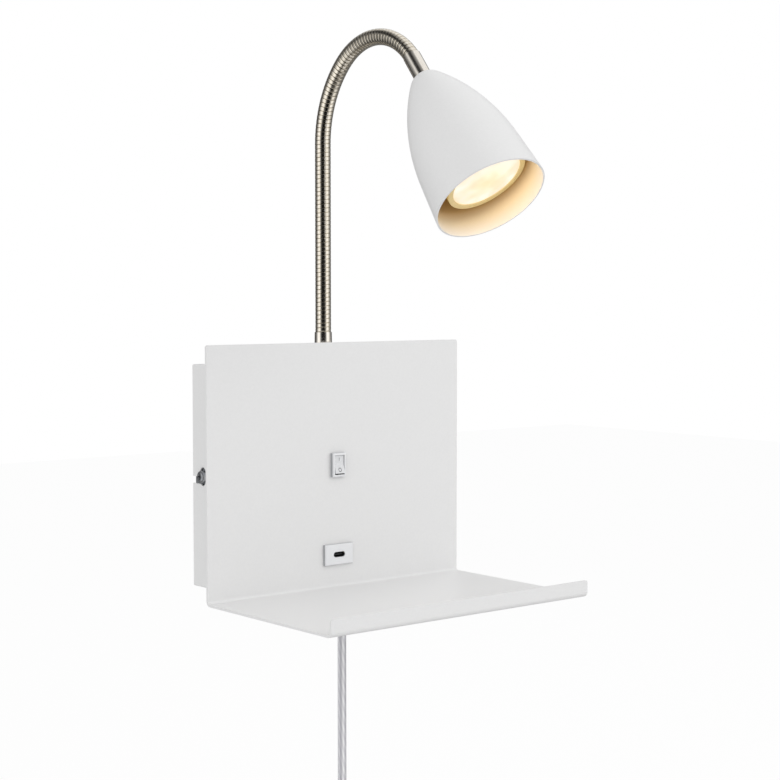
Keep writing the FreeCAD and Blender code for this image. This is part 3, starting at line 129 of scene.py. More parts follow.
def powder_film(name):
    """Polyester powder coat, baked: an even white film, slight orange peel, a low and broad gloss."""
    made, tree, shader, where = surface(name, "#E8E8E8", 0.46)
    mottle(tree, shader, where.outputs["Object"], 0.0016, ("#E7E7E7", "#E9E9E9"), (0.43, 0.49),
           (0.04, 0.0001))
    return made, tree, shader, where


powder_coat = powder_film("powder_coat_white")[0]

# Wound steel strip, polished nickel with a warm antique tone; the crowns bright and the grooves painted
# darker and browner, a painted shade in them.
hose_nickel, tree, shader, where = surface("hose_antique_nickel_groove_shade", "#EEE8DC", 0.15, Metallic=1.0)
strip = add(tree, "ShaderNodeSeparateXYZ", links={0: where.outputs["UV"]})
turns = add(tree, "ShaderNodeMath", {"operation": "ADD"}, {0: strip.outputs[0], 1: strip.outputs[1]})
phase = add(tree, "ShaderNodeMath", {"operation": "FRACT"}, {0: turns.outputs[0]})
grain = add(tree, "ShaderNodeTexNoise", {"Scale": 900.0, "Detail": 2.0},
            {"Vector": where.outputs["Object"]})
# painted shade: each turn's groove band is painted darker and browner than the crowns
groove_shade = ramp(tree, phase.outputs[0], [(0.0, "#F2ECE2"), (0.44, "#F0E9DC"), (0.50, "#9C927E"),
                                     (0.56, "#9C927E"), (0.62, "#EEE6D8"), (1.0, "#F2ECE2")])
speck = ramp(tree, grain.outputs[0], [(0.35, "#EAE7E0"), (0.7, "#FFFFFF")])
mixed = add(tree, "ShaderNodeMix", {"data_type": "RGBA", "blend_type": "MULTIPLY"})
mixed.inputs[0].default_value = 1.0
tree.links.new(groove_shade, mixed.inputs[6])
tree.links.new(speck, mixed.inputs[7])
tree.links.new(mixed.outputs[2], shader.inputs["Base Color"])
spread = add(tree, "ShaderNodeMapRange", {"From Min": 0.3, "From Max": 0.7, "To Min": 0.12, "To Max": 0.2},
             {"Value": grain.outputs[0]})
tree.links.new(spread.outputs[0], shader.inputs["Roughness"])

# Turned brass sleeves with the same antique nickel plate: smooth, with fine lines round them.
ferrule_nickel, tree, shader, where = surface("ferrule_antique_nickel", "#ECE6DC", 0.2, Metallic=1.0)
mottle(tree, shader, where.outputs["Object"], 0.0009, ("#E8E1D6", "#F1ECE4"), (0.12, 0.19), (0.03, 0.00004))

# Zinc-plated steel: a cool grey film, faintly cloudy, half bright.
zinc_plate, tree, shader, where = surface("zinc_plated_steel", "#B4B7BC", 0.36, Metallic=1.0)
mottle(tree, shader, where.outputs["Object"], 0.003, ("#A7ABB2", "#C2C3C4"), (0.3, 0.44), (0.06, 0.00006))

# Galvanised strip of the bracket: the same zinc with larger pale clouds.
zinc_strip, tree, shader, where = surface("galvanised_strip", "#AEB1B5", 0.42, Metallic=1.0)
mottle(tree, shader, where.outputs["Object"], 0.008, ("#9FA3A8", "#BDBFC2"), (0.36, 0.5), (0.05, 0.00006))

# Steatite, pressed and fired: a dense cream body, dry and faintly grainy.
steatite, tree, shader, where = surface("fired_steatite", "#E6E1D4", 0.5)
mottle(tree, shader, where.outputs["Object"], 0.0012, ("#DED8C9", "#ECE8DD"), (0.4, 0.6), (0.15, 0.00008))

# Stamped brass contacts and blades.
contact_brass, tree, shader, where = surface("stamped_brass", "#C6A25A", 0.3, Metallic=1.0)
mottle(tree, shader, where.outputs["Object"], 0.002, ("#B8934B", "#D0AE68"), (0.24, 0.38), (0.05, 0.00005))

# Nickel-plated solid pins: bright, with faint drawing lines along them.
pin_nickel, tree, shader, where = surface("pin_nickel", "#BDB9B0", 0.22, Metallic=1.0)
mottle(tree, shader, where.outputs["Object"], 0.001, ("#B0ACA3", "#C9C6BE"), (0.18, 0.3), (0.04, 0.00004))

# White solder mask on the lamp's board.
board_mask, tree, shader, where = surface("white_solder_mask", "#F0EEE6", 0.3)
mottle(tree, shader, where.outputs["Object"], 0.003, ("#ECE9DF", "#F3F1EA"), (0.25, 0.36), (0.04, 0.00004))

# ABS, moulded and bright: switch and port mouldings. The edges behind the front face are greyer, as they
# stand in their own shade against the panel. The number is the front face's Y in metres.
surrounds = {}
for name, front in (("switch_surround", -0.0336), ("port_surround", -0.0332)):
    surrounds[name], tree, shader, where = surface(name, "#E9EAEC", 0.28)
    depth = add(tree, "ShaderNodeSeparateXYZ", links={0: where.outputs["Object"]})
    behind = add(tree, "ShaderNodeMapRange", {"From Min": front - 0.0001, "From Max": front + 0.0002},
                 {"Value": depth.outputs[1]})
    edge = ramp(tree, behind.outputs[0], [(0.0, "#E9EAEC"), (1.0, "#A7A9AC")])
    grain = add(tree, "ShaderNodeTexNoise", {"Scale": 700.0, "Detail": 2.0},
                {"Vector": where.outputs["Object"]})
    skin = add(tree, "ShaderNodeBump", {"Strength": 0.04, "Distance": 0.00004},
               {"Height": grain.outputs[0]})
    tree.links.new(edge, shader.inputs["Base Color"])
    tree.links.new(skin.outputs[0], shader.inputs["Normal"])

# The rocker is the same plastic, a shade greyer.
abs_rocker, tree, shader, where = surface("moulded_abs_rocker", "#DFE0E2", 0.25)
mottle(tree, shader, where.outputs["Object"], 0.0015, ("#DCDDDF", "#E2E3E5"), (0.2, 0.3), (0.04, 0.00004))

# Pad-printed ink of the rocker's marks: flat and dark grey.
ink, tree, shader, where = surface("pad_print_grey", "#55565A", 0.6)
mottle(tree, shader, where.outputs["Object"], 0.0004, ("#4E4F53", "#5F6064"), (0.5, 0.7), (0.05, 0.00002))

# Drawn stainless shell of the port, dull inside.
port_steel, tree, shader, where = surface("drawn_port_shell", "#7C7D80", 0.38, Metallic=1.0)
mottle(tree, shader, where.outputs["Object"], 0.001, ("#6E6F72", "#8A8B8E"), (0.32, 0.46), (0.04, 0.00004))

# Black moulded plastic: module case, contact tongue, tie.
black_abs, tree, shader, where = surface("moulded_black_plastic", "#1B1B1D", 0.45)
mottle(tree, shader, where.outputs["Object"], 0.0012, ("#161618", "#222224"), (0.38, 0.55), (0.12, 0.00006))

# Polyamide terminal block: translucent white, waxy.
polyamide, tree, shader, where = surface("natural_polyamide", "#E8E6DC", 0.4)
mottle(tree, shader, where.outputs["Object"], 0.003, ("#E2DFD3", "#EDEBE3"), (0.34, 0.46), (0.05, 0.00005))

# PVC insulation of the single wires, extruded: glossy, with faint draw marks.
brown_pvc, tree, shader, where = surface("brown_pvc_insulation", "#6A3B22", 0.3)
mottle(tree, shader, where.outputs["Object"], 0.002, ("#62361F", "#744227"), (0.26, 0.38), (0.05, 0.00004))
black_pvc, tree, shader, where = surface("black_pvc_insulation", "#242427", 0.3)
mottle(tree, shader, where.outputs["Object"], 0.002, ("#1E1E21", "#2C2C30"), (0.26, 0.38), (0.05, 0.00004))

# Clear flexible PVC of the strain relief and the plug: milky where it is thick.
clear_pvc, tree, shader, where = surface("clear_pvc_moulding", "#DCDBE2", 0.22, IOR=1.53)
shader.inputs["Transmission Weight"].default_value = 0.45
mottle(tree, shader, where.outputs["Object"], 0.004, ("#D5D4DC", "#E3E2E8"), (0.18, 0.28), (0.05, 0.00005))

# Twin lead in clear PVC: grey strands show through each round half, with light edges; the white web between
# the halves is a painted highlight.
# UV: U goes once round the section, V is the length in strand lays.
lead_pvc, tree, shader, where = surface("clear_pvc_twin_lead", "#C4C4C8", 0.2, IOR=1.53)
shader.inputs["Coat Weight"].default_value = 0.7
shader.inputs["Coat Roughness"].default_value = 0.08
split = add(tree, "ShaderNodeSeparateXYZ", links={0: where.outputs["UV"]})
half_turn = add(tree, "ShaderNodeMath", {"operation": "MULTIPLY", 1: 2.0}, {0: split.outputs[0]})
lobe = add(tree, "ShaderNodeMath", {"operation": "FRACT"}, {0: half_turn.outputs[0]})
half = add(tree, "ShaderNodeMath", {"operation": "PINGPONG", 1: 0.5}, {0: lobe.outputs[0]})
# painted highlight: pure white across the web between the two halves
across = ramp(tree, half.outputs[0], [(0.0, "#E6E6E8"), (0.14, "#DDDDE0"), (0.24, "#C6C6CA"),
                                      (0.33, "#C0C0C4"), (0.40, "#E0E0E2"), (0.47, "#FFFFFF"),
                                      (0.5, "#FFFFFF")])
slant = add(tree, "ShaderNodeMath", {"operation": "MULTIPLY", 1: 6.0}, {0: split.outputs[0]})
lay_sum = add(tree, "ShaderNodeMath", {"operation": "ADD"}, {0: slant.outputs[0], 1: split.outputs[1]})
lay = add(tree, "ShaderNodeMath", {"operation": "PINGPONG", 1: 0.5}, {0: lay_sum.outputs[0]})
strands = ramp(tree, lay.outputs[0], [(0.0, "#D2D0D8"), (0.5, "#FFFFFF")])
mixed = add(tree, "ShaderNodeMix", {"data_type": "RGBA", "blend_type": "MULTIPLY"})
mixed.inputs[0].default_value = 0.6
tree.links.new(across, mixed.inputs[6])
tree.links.new(strands, mixed.inputs[7])
tree.links.new(mixed.outputs[2], shader.inputs["Base Color"])

# ------------------------------------------------------------------ numpy meshes


def mesh_piece(name, points, faces, material, body, uv=None, smooth=True):
    """Puts points and faces into a mesh object that rides on a body, with UVs given per point."""
    mesh = bpy.data.meshes.new(name)
    mesh.from_pydata(points.reshape(-1, 3).tolist(), [], faces.tolist())
    mesh.update()
    if uv is not None:
        layer = mesh.uv_layers.new(name="UVMap")
        corners = np.zeros(len(mesh.loops), dtype=np.int32)
        mesh.loops.foreach_get("vertex_index", corners)
        layer.data.foreach_set("uv", uv.reshape(-1, 2)[corners].ravel())
    mesh.shade_smooth() if smooth else mesh.shade_flat()
    mesh.materials.append(material)
    piece = bpy.data.objects.new(name, mesh)
    bpy.context.scene.collection.objects.link(piece)
    if body:
        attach(piece, body)
    return piece


def weld(mesh):
    """Merges points that share a place, such as the two sides of a seam."""
    work = bmesh.new()
    work.from_mesh(mesh)
    bmesh.ops.remove_doubles(work, verts=work.verts, dist=1e-6)
    work.to_mesh(mesh)
    work.free()


def grid_faces(rows, columns, closed):
    """Quads of a grid of rows by columns, joined round where closed, in one flat array."""
    wide = columns if closed else columns - 1
    r, c = np.meshgrid(np.arange(rows - 1), np.arange(wide), indexing="ij")
    nxt = (c + 1) % columns
    return np.stack([r * columns + c, r * columns + nxt, (r + 1) * columns + nxt, (r + 1) * columns + c],
                    axis=-1).reshape(-1, 4)


# ------------------------------------------------------------------ mains lead

EXIT = (0.0147, -0.015, -0.0905)
GLAND_TOP_Z = -0.0545
LEAD_WIDE, STRAND_LAY = 0.0062, 0.009
COIL_Z, COIL_PITCH, LAYER = -0.262, 0.0067, 0.0067
COIL_RADII = [0.048, 0.04465, 0.0413, 0.03795, 0.0346, 0.03125, 0.0279,
              0.03125, 0.0346, 0.03795, 0.0413, 0.04465, 0.048, 0.05135]


def coil_points(x, y, z):
    """Control points every 30 degrees on the half turns: in, up one layer, and out again."""
    angles = np.radians(np.arange(15, 180, 30))
    points, down = [], True
    for n, radius in enumerate(COIL_RADII):
        side = -1 if down else 1
        climb = -LAYER if n == 6 else 0.0
        reach = radius / 0.966
        share = (1 - np.cos(angles)) / 2
        points.append(np.column_stack([
            x + side * radius - side * reach * np.cos(angles),
            y + climb * share,
            z - (1 if down else -1) * reach * np.sin(angles),
        ]))
        x, y, down = x + side * 2 * radius, y + climb, not down
    return np.concatenate(points), x, y


turns_points, tail_x, tail_y = coil_points(EXIT[0], EXIT[1], COIL_Z)
ROUTE = [EXIT, (0.0147, -0.015, -0.224)] + turns_points.tolist() + [
    (tail_x, tail_y, -0.292), (tail_x, tail_y, -0.320)]

guide_data = bpy.data.curves.new("lead_route", "CURVE")
guide_data.dimensions = "3D"
guide_data.resolution_u = 8
spline = guide_data.splines.new("NURBS")
spline.points.add(len(ROUTE) - 1)
spline.points.foreach_set("co", np.column_stack([np.array(ROUTE), np.ones(len(ROUTE))]).ravel())
spline.order_u = 3
spline.use_endpoint_u = True
guide = bpy.data.objects.new("lead_route", guide_data)
bpy.context.scene.collection.objects.link(guide)
read = bpy.data.meshes.new_from_object(guide)
path = np.zeros(len(read.vertices) * 3)
read.vertices.foreach_get("co", path)
path = path.reshape(-1, 3)
bpy.data.objects.remove(guide)
bpy.data.meshes.remove(read)
keep_rows = np.concatenate([[True], np.linalg.norm(np.diff(path, axis=0), axis=1) > 1e-6])
path = path[keep_rows]


def twin_section(count=28):
    """Outline of the flat twin lead: two round halves that a thin web joins."""
    a = np.linspace(0, 2 * np.pi, count, endpoint=False)
    x = 0.5 * LEAD_WIDE * np.cos(a)
    lobe_r = LEAD_WIDE / 4
    height = np.sqrt(np.clip(lobe_r ** 2 - (np.abs(x) - lobe_r) ** 2, 0, None))
    web = np.where(np.abs(x) < lobe_r, 0.62 * lobe_r, 0.0)
    return x, np.sign(np.sin(a)) * np.maximum(height, web), a / (2 * np.pi)


def lead_mesh(name, line, body, turned):
    """The twin section carried along a line; turned is how far, 0 to 1, its width has swung to Y."""
    tangent = np.gradient(line, axis=0)
    tangent /= np.linalg.norm(tangent, axis=1)[:, None]
    y_axis = np.array([0.0, 1.0, 0.0])
    across_line = np.cross(y_axis, tangent)
    across_line /= np.linalg.norm(across_line, axis=1)[:, None]
    other = np.cross(tangent, across_line)
    angle = np.radians(90) * turned[:, None]
    wide = across_line * np.cos(angle) + other * np.sin(angle)
    thin = np.cross(tangent, wide)
    x, h, u = twin_section()
    points = line[:, None, :] + wide[:, None, :] * x[None, :, None] + thin[:, None, :] * h[None, :, None]
    gone = np.concatenate([[0], np.cumsum(np.linalg.norm(np.diff(line, axis=0), axis=1))])
    count = len(x)
    columns = np.concatenate([points, points[:, :1]], axis=1)
    uv = np.stack(np.broadcast_arrays(np.append(u, 1.0)[None, :], (gone / STRAND_LAY)[:, None]), axis=-1)
    faces = grid_faces(len(line), count + 1, False)
    ends = []
    flat = columns.reshape(-1, 3)
    for row, flip in ((0, False), (len(line) - 1, True)):
        ring = row * (count + 1) + np.arange(count)
        half = count // 2
        quads = [[ring[i], ring[i + 1], ring[(count - i - 1) % count], ring[(count - i) % count]]
                 for i in range(0, half)]
        ends += [q[::-1] if flip else q for q in quads]
    return mesh_piece(name, flat, np.concatenate([faces, np.array(ends)]), lead_pvc, body,
                      uv.reshape(-1, 2))


gone = np.concatenate([[0], np.cumsum(np.linalg.norm(np.diff(path, axis=0), axis=1))])
fine = np.concatenate([np.linspace(0, 0.13, 14)[:-1], np.arange(0.13, gone[-1], 0.0045), [gone[-1]]])
line = np.column_stack([np.interp(fine, gone, path[:, k]) for k in range(3)])
swing = np.clip((-line[:, 2] - 0.212) / 0.036, 0, 1)
swing = np.where(fine > 0.16, 1.0, swing * swing * (3 - 2 * swing))
lead = lead_mesh("mains_lead", line, "root", swing)
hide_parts("mains_cord", "cord_coil")

inner = np.column_stack([np.full(8, EXIT[0]), np.full(8, EXIT[1]), np.linspace(GLAND_TOP_Z, EXIT[2], 8)])
lead_end = lead_mesh("lead_in_gland", inner, "root", np.zeros(8))
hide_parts("cord_inside")

# ------------------------------------------------------------------ ribbed hose

HOSE_R, RIB_PITCH, RIB_DEEP = 0.005, 0.0027, 0.00013
NECK_Y, NECK_Z = -0.015, 0.0871
NECK = [(0.1195, 0.0), (0.06655, 47.0), (0.0467, 94.5), (0.01405, 0.0)]
ARCS_END = sum(size * math.radians(turn) if turn else size for size, turn in NECK[:3])
HINGES = np.linspace(0.009, ARCS_END - 0.012, 7)
HOSE_END = ARCS_END + 0.010
# Rows of points along one rib, as shares of the pitch: close together only in the groove at 0.53.
RIB_ROWS = np.array([0.0, 0.12, 0.24, 0.34, 0.42, 0.48, 0.53, 0.58, 0.64, 0.72, 0.82, 0.91])
HOSE_SIDES = 40


def on_neck(s):
    """Points and headings of the neck's middle line: straight, two arcs, straight, in one plane."""
    y, z, heading = NECK_Y, NECK_Z, 0.0
    out = np.zeros((len(s), 3))
    turn = np.zeros(len(s))
    start = 0.0
    for n, (size, degrees) in enumerate(NECK):
        length = size * math.radians(degrees) if degrees else size
        last = n == len(NECK) - 1
        step = s - start if last else np.minimum(s - start, length)
        here = (s >= start) | (n == 0)
        a = math.radians(heading)
        if degrees:
            b = a + np.radians(degrees) * step / length
            py = y - size * (math.cos(a) - np.cos(b))
            pz = z + size * (np.sin(b) - math.sin(a))
        else:
            b = np.full(len(s), a)
            py, pz = y - step * math.sin(a), z + step * math.cos(a)
        out[here, 1], out[here, 2], turn[here] = py[here], pz[here], b[here]
        if degrees:
            c = a + math.radians(degrees)
            y, z = y - size * (math.cos(a) - math.cos(c)), z + size * (math.sin(c) - math.sin(a))
            heading += degrees
        else:
            y, z = y - length * math.sin(a), z + length * math.cos(a)
        start += length
    return out, turn


def hose_mesh(name, start, end, closed_low, closed_high):
    """Wound strip: each row climbs a pitch a turn, and the radius falls by a bell curve into the groove
    and by a parabola towards the rib's edges."""
    turns = np.arange(math.floor(start / RIB_PITCH), math.ceil(end / RIB_PITCH) + 1)
    rows = ((turns[:, None] + RIB_ROWS) * RIB_PITCH).ravel()
    rows = np.concatenate([[start], rows[(rows > start + 1e-4) & (rows < end - 1e-4)], [end]])
    theta = np.linspace(0, 2 * np.pi, HOSE_SIDES + 1)
    along = rows[:, None] - RIB_PITCH * theta[None, :] / (2 * np.pi)
    middle, turn = on_neck(along.ravel())
    middle, turn = middle.reshape(along.shape + (3,)), turn.reshape(along.shape)
    off = np.mod(rows / RIB_PITCH - 0.53 + 0.5, 1.0) - 0.5
    radius = HOSE_R - RIB_DEEP * (np.exp(-(off / 0.08) ** 2) + 0.1 * (1 - 2 * np.abs(off)) ** 2)
    zero = np.zeros_like(turn)
    out_plane = np.stack([zero, -np.cos(turn), -np.sin(turn)], axis=-1)
    across_x = np.array([1.0, 0.0, 0.0])
    points = middle + radius[:, None, None] * (
        np.cos(theta)[None, :, None] * across_x + np.sin(theta)[None, :, None] * out_plane)
    uv = np.stack(np.broadcast_arrays((theta / (2 * np.pi))[None, :], along / RIB_PITCH), axis=-1)
    flat, uvs = points.reshape(-1, 3), uv.reshape(-1, 2)
    faces = grid_faces(len(rows), HOSE_SIDES + 1, False)[:, ::-1]
    first = np.arange(HOSE_SIDES)
    caps = []
    for row, wanted, flip in ((0, closed_low, False), (len(rows) - 1, closed_high, True)):
        if wanted:
            ring = row * (HOSE_SIDES + 1) + first
            fan = np.stack([ring, ring + 1, np.full(HOSE_SIDES, len(flat))], axis=-1)
            caps.append(fan[:, ::-1] if flip else fan)
            flat = np.concatenate([flat, middle[row].mean(axis=0)[None]])
            uvs = np.concatenate([uvs, [[0.0, 0.0]]])
    mesh = bpy.data.meshes.new(name)
    mesh.from_pydata(flat.tolist(), [], faces.tolist() + [fan for cap in caps for fan in cap.tolist()])
    mesh.update()
    layer = mesh.uv_layers.new(name="UVMap")
    corners = np.zeros(len(mesh.loops), dtype=np.int32)
    mesh.loops.foreach_get("vertex_index", corners)
    layer.data.foreach_set("uv", uvs[corners].ravel())
    weld(mesh)
    mesh.shade_smooth()
    mesh.materials.append(hose_nickel)
    piece = bpy.data.objects.new(name, mesh)
    bpy.context.scene.collection.objects.link(piece)
    return piece


hose_nodes = [["hose_foot"], ["hose_1"], ["hose_2"], ["hose_3"], ["hose_4"], ["hose_5"],
              ["hose_6", "hose_top"]]
HOSE_START = -0.0118
cuts = [HOSE_START] + [(a + b) / 2 for a, b in zip(HINGES, HINGES[1:])] + [HOSE_END - 0.0002]
for n, hinge in enumerate(HINGES):
    piece = hose_mesh("hose_skin_%d" % (n + 1), cuts[n], cuts[n + 1], n == 0, n == 6)
    reach = 0.0085 if n == 0 else (0.0105 if n == 6 else 0.016)
    ends, _ = on_neck(np.array([hinge - reach, hinge + reach]))
    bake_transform(piece)
    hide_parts(*hose_nodes[n])

# ------------------------------------------------------------------ marks on the rocker

PIVOT = np.array([-0.0016, -0.0321, 0.0033])
TILT = math.radians(-8)


def on_rocker(points):
    """From the rocker's own level frame to its place, turned about its pivot."""
    c, s = math.cos(TILT), math.sin(TILT)
    y, z = points[..., 1], points[..., 2]
    return np.stack([points[..., 0], c * y - s * z, s * y + c * z], axis=-1) + PIVOT


def face_y(z):
    """Front of the rocker's dished face at a height from its middle, less a film of ink."""
    return -0.0014 - np.abs(z) * math.tan(math.radians(8)) - 0.00004


def mark_ring():
    """The O: a flat ring, its radius between two circles."""
    a = np.linspace(0, 2 * np.pi, 33)[:-1]
    r = np.array([0.00085, 0.00118])
    x = r[:, None] * np.cos(a)[None, :]
    z = -0.0034 + 1.15 * r[:, None] * np.sin(a)[None, :]
    return np.stack([x, face_y(z), z], axis=-1), grid_faces(2, 32, True)


def mark_bar():
    """The I: a flat upright bar."""
    x, z = np.meshgrid(np.array([-0.00017, 0.00017]), np.linspace(0.0022, 0.0044, 5))
    return np.stack([x, face_y(z), z], axis=-1), grid_faces(5, 2, False)


for name, (points, faces) in (("mark_off", mark_ring()), ("mark_on", mark_bar())):
    piece = mesh_piece(name, on_rocker(points), faces[:, ::-1], ink, "rocker", smooth=False)

# ------------------------------------------------------------------ lens and its light

BULB_AXIS = np.array([0.09063, -0.61995, -0.77939])
BULB_AXIS /= np.linalg.norm(BULB_AXIS)
HOLDER = np.array([0.0, -0.1276243, 0.2211932])
# From the pivot along the lamp's axis: the housing's front ring, and where the light leaves.
HOUSING_REACH, LIGHT_REACH, SIDE_LIGHT_REACH = 0.0573, 0.0595, 0.0665
LENS_RADIUS = 0.0218
LAMP_GLOW = "#FFDCA6"
HEAD_APEX = np.array([0.0, -0.11330646, 0.23919316])
HEAD_AXIS = np.array([0.0, -0.6225146, -0.7826082])
SHADE_LENGTH = 0.0942


def lamp_axis(tree, where):
    """Along the lamp's axis and out from it, in metres from the lampholder's pivot."""
    offset = add(tree, "ShaderNodeVectorMath", {"operation": "SUBTRACT", 1: tuple(HOLDER)},
                 {0: where.outputs["Object"]})
    forward = add(tree, "ShaderNodeVectorMath", {"operation": "DOT_PRODUCT", 1: tuple(BULB_AXIS)},
                  {0: offset.outputs[0]})
    crossed = add(tree, "ShaderNodeVectorMath", {"operation": "CROSS_PRODUCT", 1: tuple(BULB_AXIS)},
                  {0: offset.outputs[0]})
    radial = add(tree, "ShaderNodeVectorMath", {"operation": "LENGTH"}, {0: crossed.outputs[0]})
    return forward.outputs[1], radial.outputs[1]


# Frosted polycarbonate disc, lit from behind: a cream glow, a little yellower in the middle.
lens_lit, tree, shader, where = surface("frosted_lens_lit", "#8A8578", 0.45)
along, radial = lamp_axis(tree, where)
share = add(tree, "ShaderNodeMath", {"operation": "DIVIDE", 1: LENS_RADIUS}, {0: radial})
glow = ramp(tree, share.outputs[0], [(0.0, "#F4E3C6"), (0.25, "#F9ECD2"), (0.55, "#FDF3DF"),
                                     (0.90, "#FFF9EC"), (1.0, "#FFF2D6")])
cloud = add(tree, "ShaderNodeTexNoise", {"Scale": 90.0, "Detail": 1.0}, {"Vector": where.outputs["Object"]})
veil = ramp(tree, cloud.outputs[0], [(0.35, "#F3EADC"), (0.65, "#FFFFFF")])
mixed = add(tree, "ShaderNodeMix", {"data_type": "RGBA", "blend_type": "MULTIPLY"})
mixed.inputs[0].default_value = 1.0
tree.links.new(glow, mixed.inputs[6])
tree.links.new(veil, mixed.inputs[7])
tree.links.new(mixed.outputs[2], shader.inputs["Emission Color"])
shader.inputs["Emission Strength"].default_value = 0.86

# The lamp's translucent housing: olive-gold light shows through it, more towards its front ring.
housing, tree, shader, where = surface("lit_pbt_housing", "#BBB092", 0.35)
mottle(tree, shader, where.outputs["Object"], 0.002, ("#B5AA8B", "#C1B698"), (0.3, 0.42), (0.05, 0.00005))
along, radial = lamp_axis(tree, where)
share = add(tree, "ShaderNodeMath", {"operation": "DIVIDE", 1: HOUSING_REACH}, {0: along})
glow = ramp(tree, share.outputs[0], [(0.0, "#000000"), (0.35, "#3A2C12"), (0.80, "#8F7434"),
                                     (0.95, "#A88C46"), (1.0, "#A08642")])
tree.links.new(glow, shader.inputs["Emission Color"])
shader.inputs["Emission Strength"].default_value = 0.7

lamp = bpy.data.objects.new("lamp_light", bpy.data.lights.new("lamp_light", "AREA"))
lamp.data.shape = "DISK"
lamp.data.size = 0.042
lamp.data.energy = 0.0095
lamp.data.color = linear(LAMP_GLOW)[:3]
lamp.visible_camera = False
lamp.visible_glossy = False
lamp.matrix_world = (Matrix.Translation(Vector(HOLDER + BULB_AXIS * LIGHT_REACH))
                     @ Vector(BULB_AXIS).to_track_quat("-Z", "Y").to_matrix().to_4x4())
bpy.context.scene.collection.objects.link(lamp)

# The glow that leaves the lens aslant and lights the wall beside it.
aslant = bpy.data.objects.new("lamp_side_light", bpy.data.lights.new("lamp_side_light", "POINT"))
aslant.data.shadow_soft_size = 0.008
aslant.data.energy = 0.0045
aslant.data.color = linear(LAMP_GLOW)[:3]
aslant.visible_camera = False
aslant.visible_glossy = False
aslant.location = Vector(HOLDER + BULB_AXIS * SIDE_LIGHT_REACH)
bpy.context.scene.collection.objects.link(aslant)

# The shade's coat: the same white film; inside, the lamp's light warms it, more with every pass between
# the walls, so that it is deepest gold behind the lamp's front and white again at the rim.
shade_coat, tree, shader, where = powder_film("powder_coat_shade")
film = shader.inputs["Base Color"].links[0].from_socket
apex = add(tree, "ShaderNodeVectorMath", {"operation": "SUBTRACT", 1: tuple(HEAD_APEX)},
           {0: where.outputs["Object"]})
depth = add(tree, "ShaderNodeVectorMath", {"operation": "DOT_PRODUCT", 1: tuple(HEAD_AXIS)},
            {0: apex.outputs[0]})
on_axis = add(tree, "ShaderNodeVectorMath", {"operation": "SCALE", 0: tuple(HEAD_AXIS)},
              {"Scale": depth.outputs[1]})
outward = add(tree, "ShaderNodeVectorMath", {"operation": "SUBTRACT"}, {0: apex.outputs[0],
                                                                       1: on_axis.outputs[0]})
facing = add(tree, "ShaderNodeVectorMath", {"operation": "DOT_PRODUCT"}, {0: outward.outputs[0],
                                                                         1: where.outputs["Normal"]})
inside = add(tree, "ShaderNodeMath", {"operation": "LESS_THAN", 1: 0.0}, {0: facing.outputs[1]})
down = add(tree, "ShaderNodeMath", {"operation": "DIVIDE", 1: SHADE_LENGTH}, {0: depth.outputs[1]})
warmth = ramp(tree, down.outputs[0], [(0.0, "#DAB987"), (0.70, "#D6B27E"), (0.82, "#DCBC8C"),
                                      (0.91, "#F2E4CA"), (1.0, "#FFFFFF")])
tinted = add(tree, "ShaderNodeMix", {"data_type": "RGBA", "blend_type": "MULTIPLY"},
             {0: inside.outputs[0], 6: film, 7: warmth})
tree.links.new(tinted.outputs[2], shader.inputs["Base Color"])

# ------------------------------------------------------------------ materials on the carried-over parts

FINISH = {
    powder_coat: ["shelf_panel", "wall_box"],
    shade_coat: ["lamp_shade"],
    ferrule_nickel: ["base_ferrule", "head_ferrule"],
    zinc_plate: ["side_screws", "panel_studs", "stud_nuts", "neck_nipple", "neck_washer", "neck_locknut",
                 "grub_screw", "shade_collar", "bracket_nut", "holder_screws", "terminal_screws"],
    zinc_strip: ["wall_bracket", "holder_bracket"],
    steatite: ["lampholder"],
    contact_brass: ["holder_contacts", "switch_blades"],
    pin_nickel: ["bulb_pins", "plug_pins"],
    housing: ["bulb_body"],
    board_mask: ["bulb_board"],
    lens_lit: ["bulb_lens"],
    surrounds["switch_surround"]: ["switch_housing"],
    surrounds["port_surround"]: ["usb_housing"],
    abs_rocker: ["switch_rocker"],
    port_steel: ["usb_shell"],
    black_abs: ["usb_tongue", "usb_driver", "coil_tie"],
    polyamide: ["terminal_block"],
    brown_pvc: ["mains_wires", "switch_wires", "driver_wires", "neck_wires", "head_wires"],
    black_pvc: ["usb_wires"],
    clear_pvc: ["cord_gland", "plug_body"],
}
for material, nodes in FINISH.items():
    for name in nodes:
        carried = bpy.data.objects[name]
        carried.data.materials.clear()
        carried.data.materials.append(material)

# ------------------------------------------------------------------ floor, world and lights


def stage_plane(name, centre, half_x, half_y, color, camera_share):
    """A flat square: matt, for the camera partly its own white, and clear in what metal mirrors."""
    made, tree, shader, where = surface(name, color, 0.9)
    out = tree.nodes["Material Output"]
    seen = add(tree, "ShaderNodeLightPath")
    weight = add(tree, "ShaderNodeMath", {"operation": "MULTIPLY", 1: camera_share}, {0: seen.outputs[0]})
    white = add(tree, "ShaderNodeEmission", {"Color": linear("#FFFFFF"), "Strength": 1.0})
    both = add(tree, "ShaderNodeMixShader", links={0: weight.outputs[0], 1: shader.outputs[0],
                                                   2: white.outputs[0]})
    clear = add(tree, "ShaderNodeBsdfTransparent")
    last = add(tree, "ShaderNodeMixShader", links={0: seen.outputs["Is Glossy Ray"], 1: both.outputs[0],
                                                   2: clear.outputs[0]})
    tree.links.new(last.outputs[0], out.inputs["Surface"])
    x, y = np.meshgrid([-half_x, half_x], [-half_y, half_y])
    points = np.stack([x, y, np.zeros_like(x)], axis=-1) + np.array(centre)
    piece = mesh_piece(name, points.astype(float), grid_faces(2, 2, False), made, None, smooth=False)
    return piece


stage_plane("pale_floor", (0.0, -0.3, -0.395), 4.0, 4.0, "#E6E6E6", 0.94)

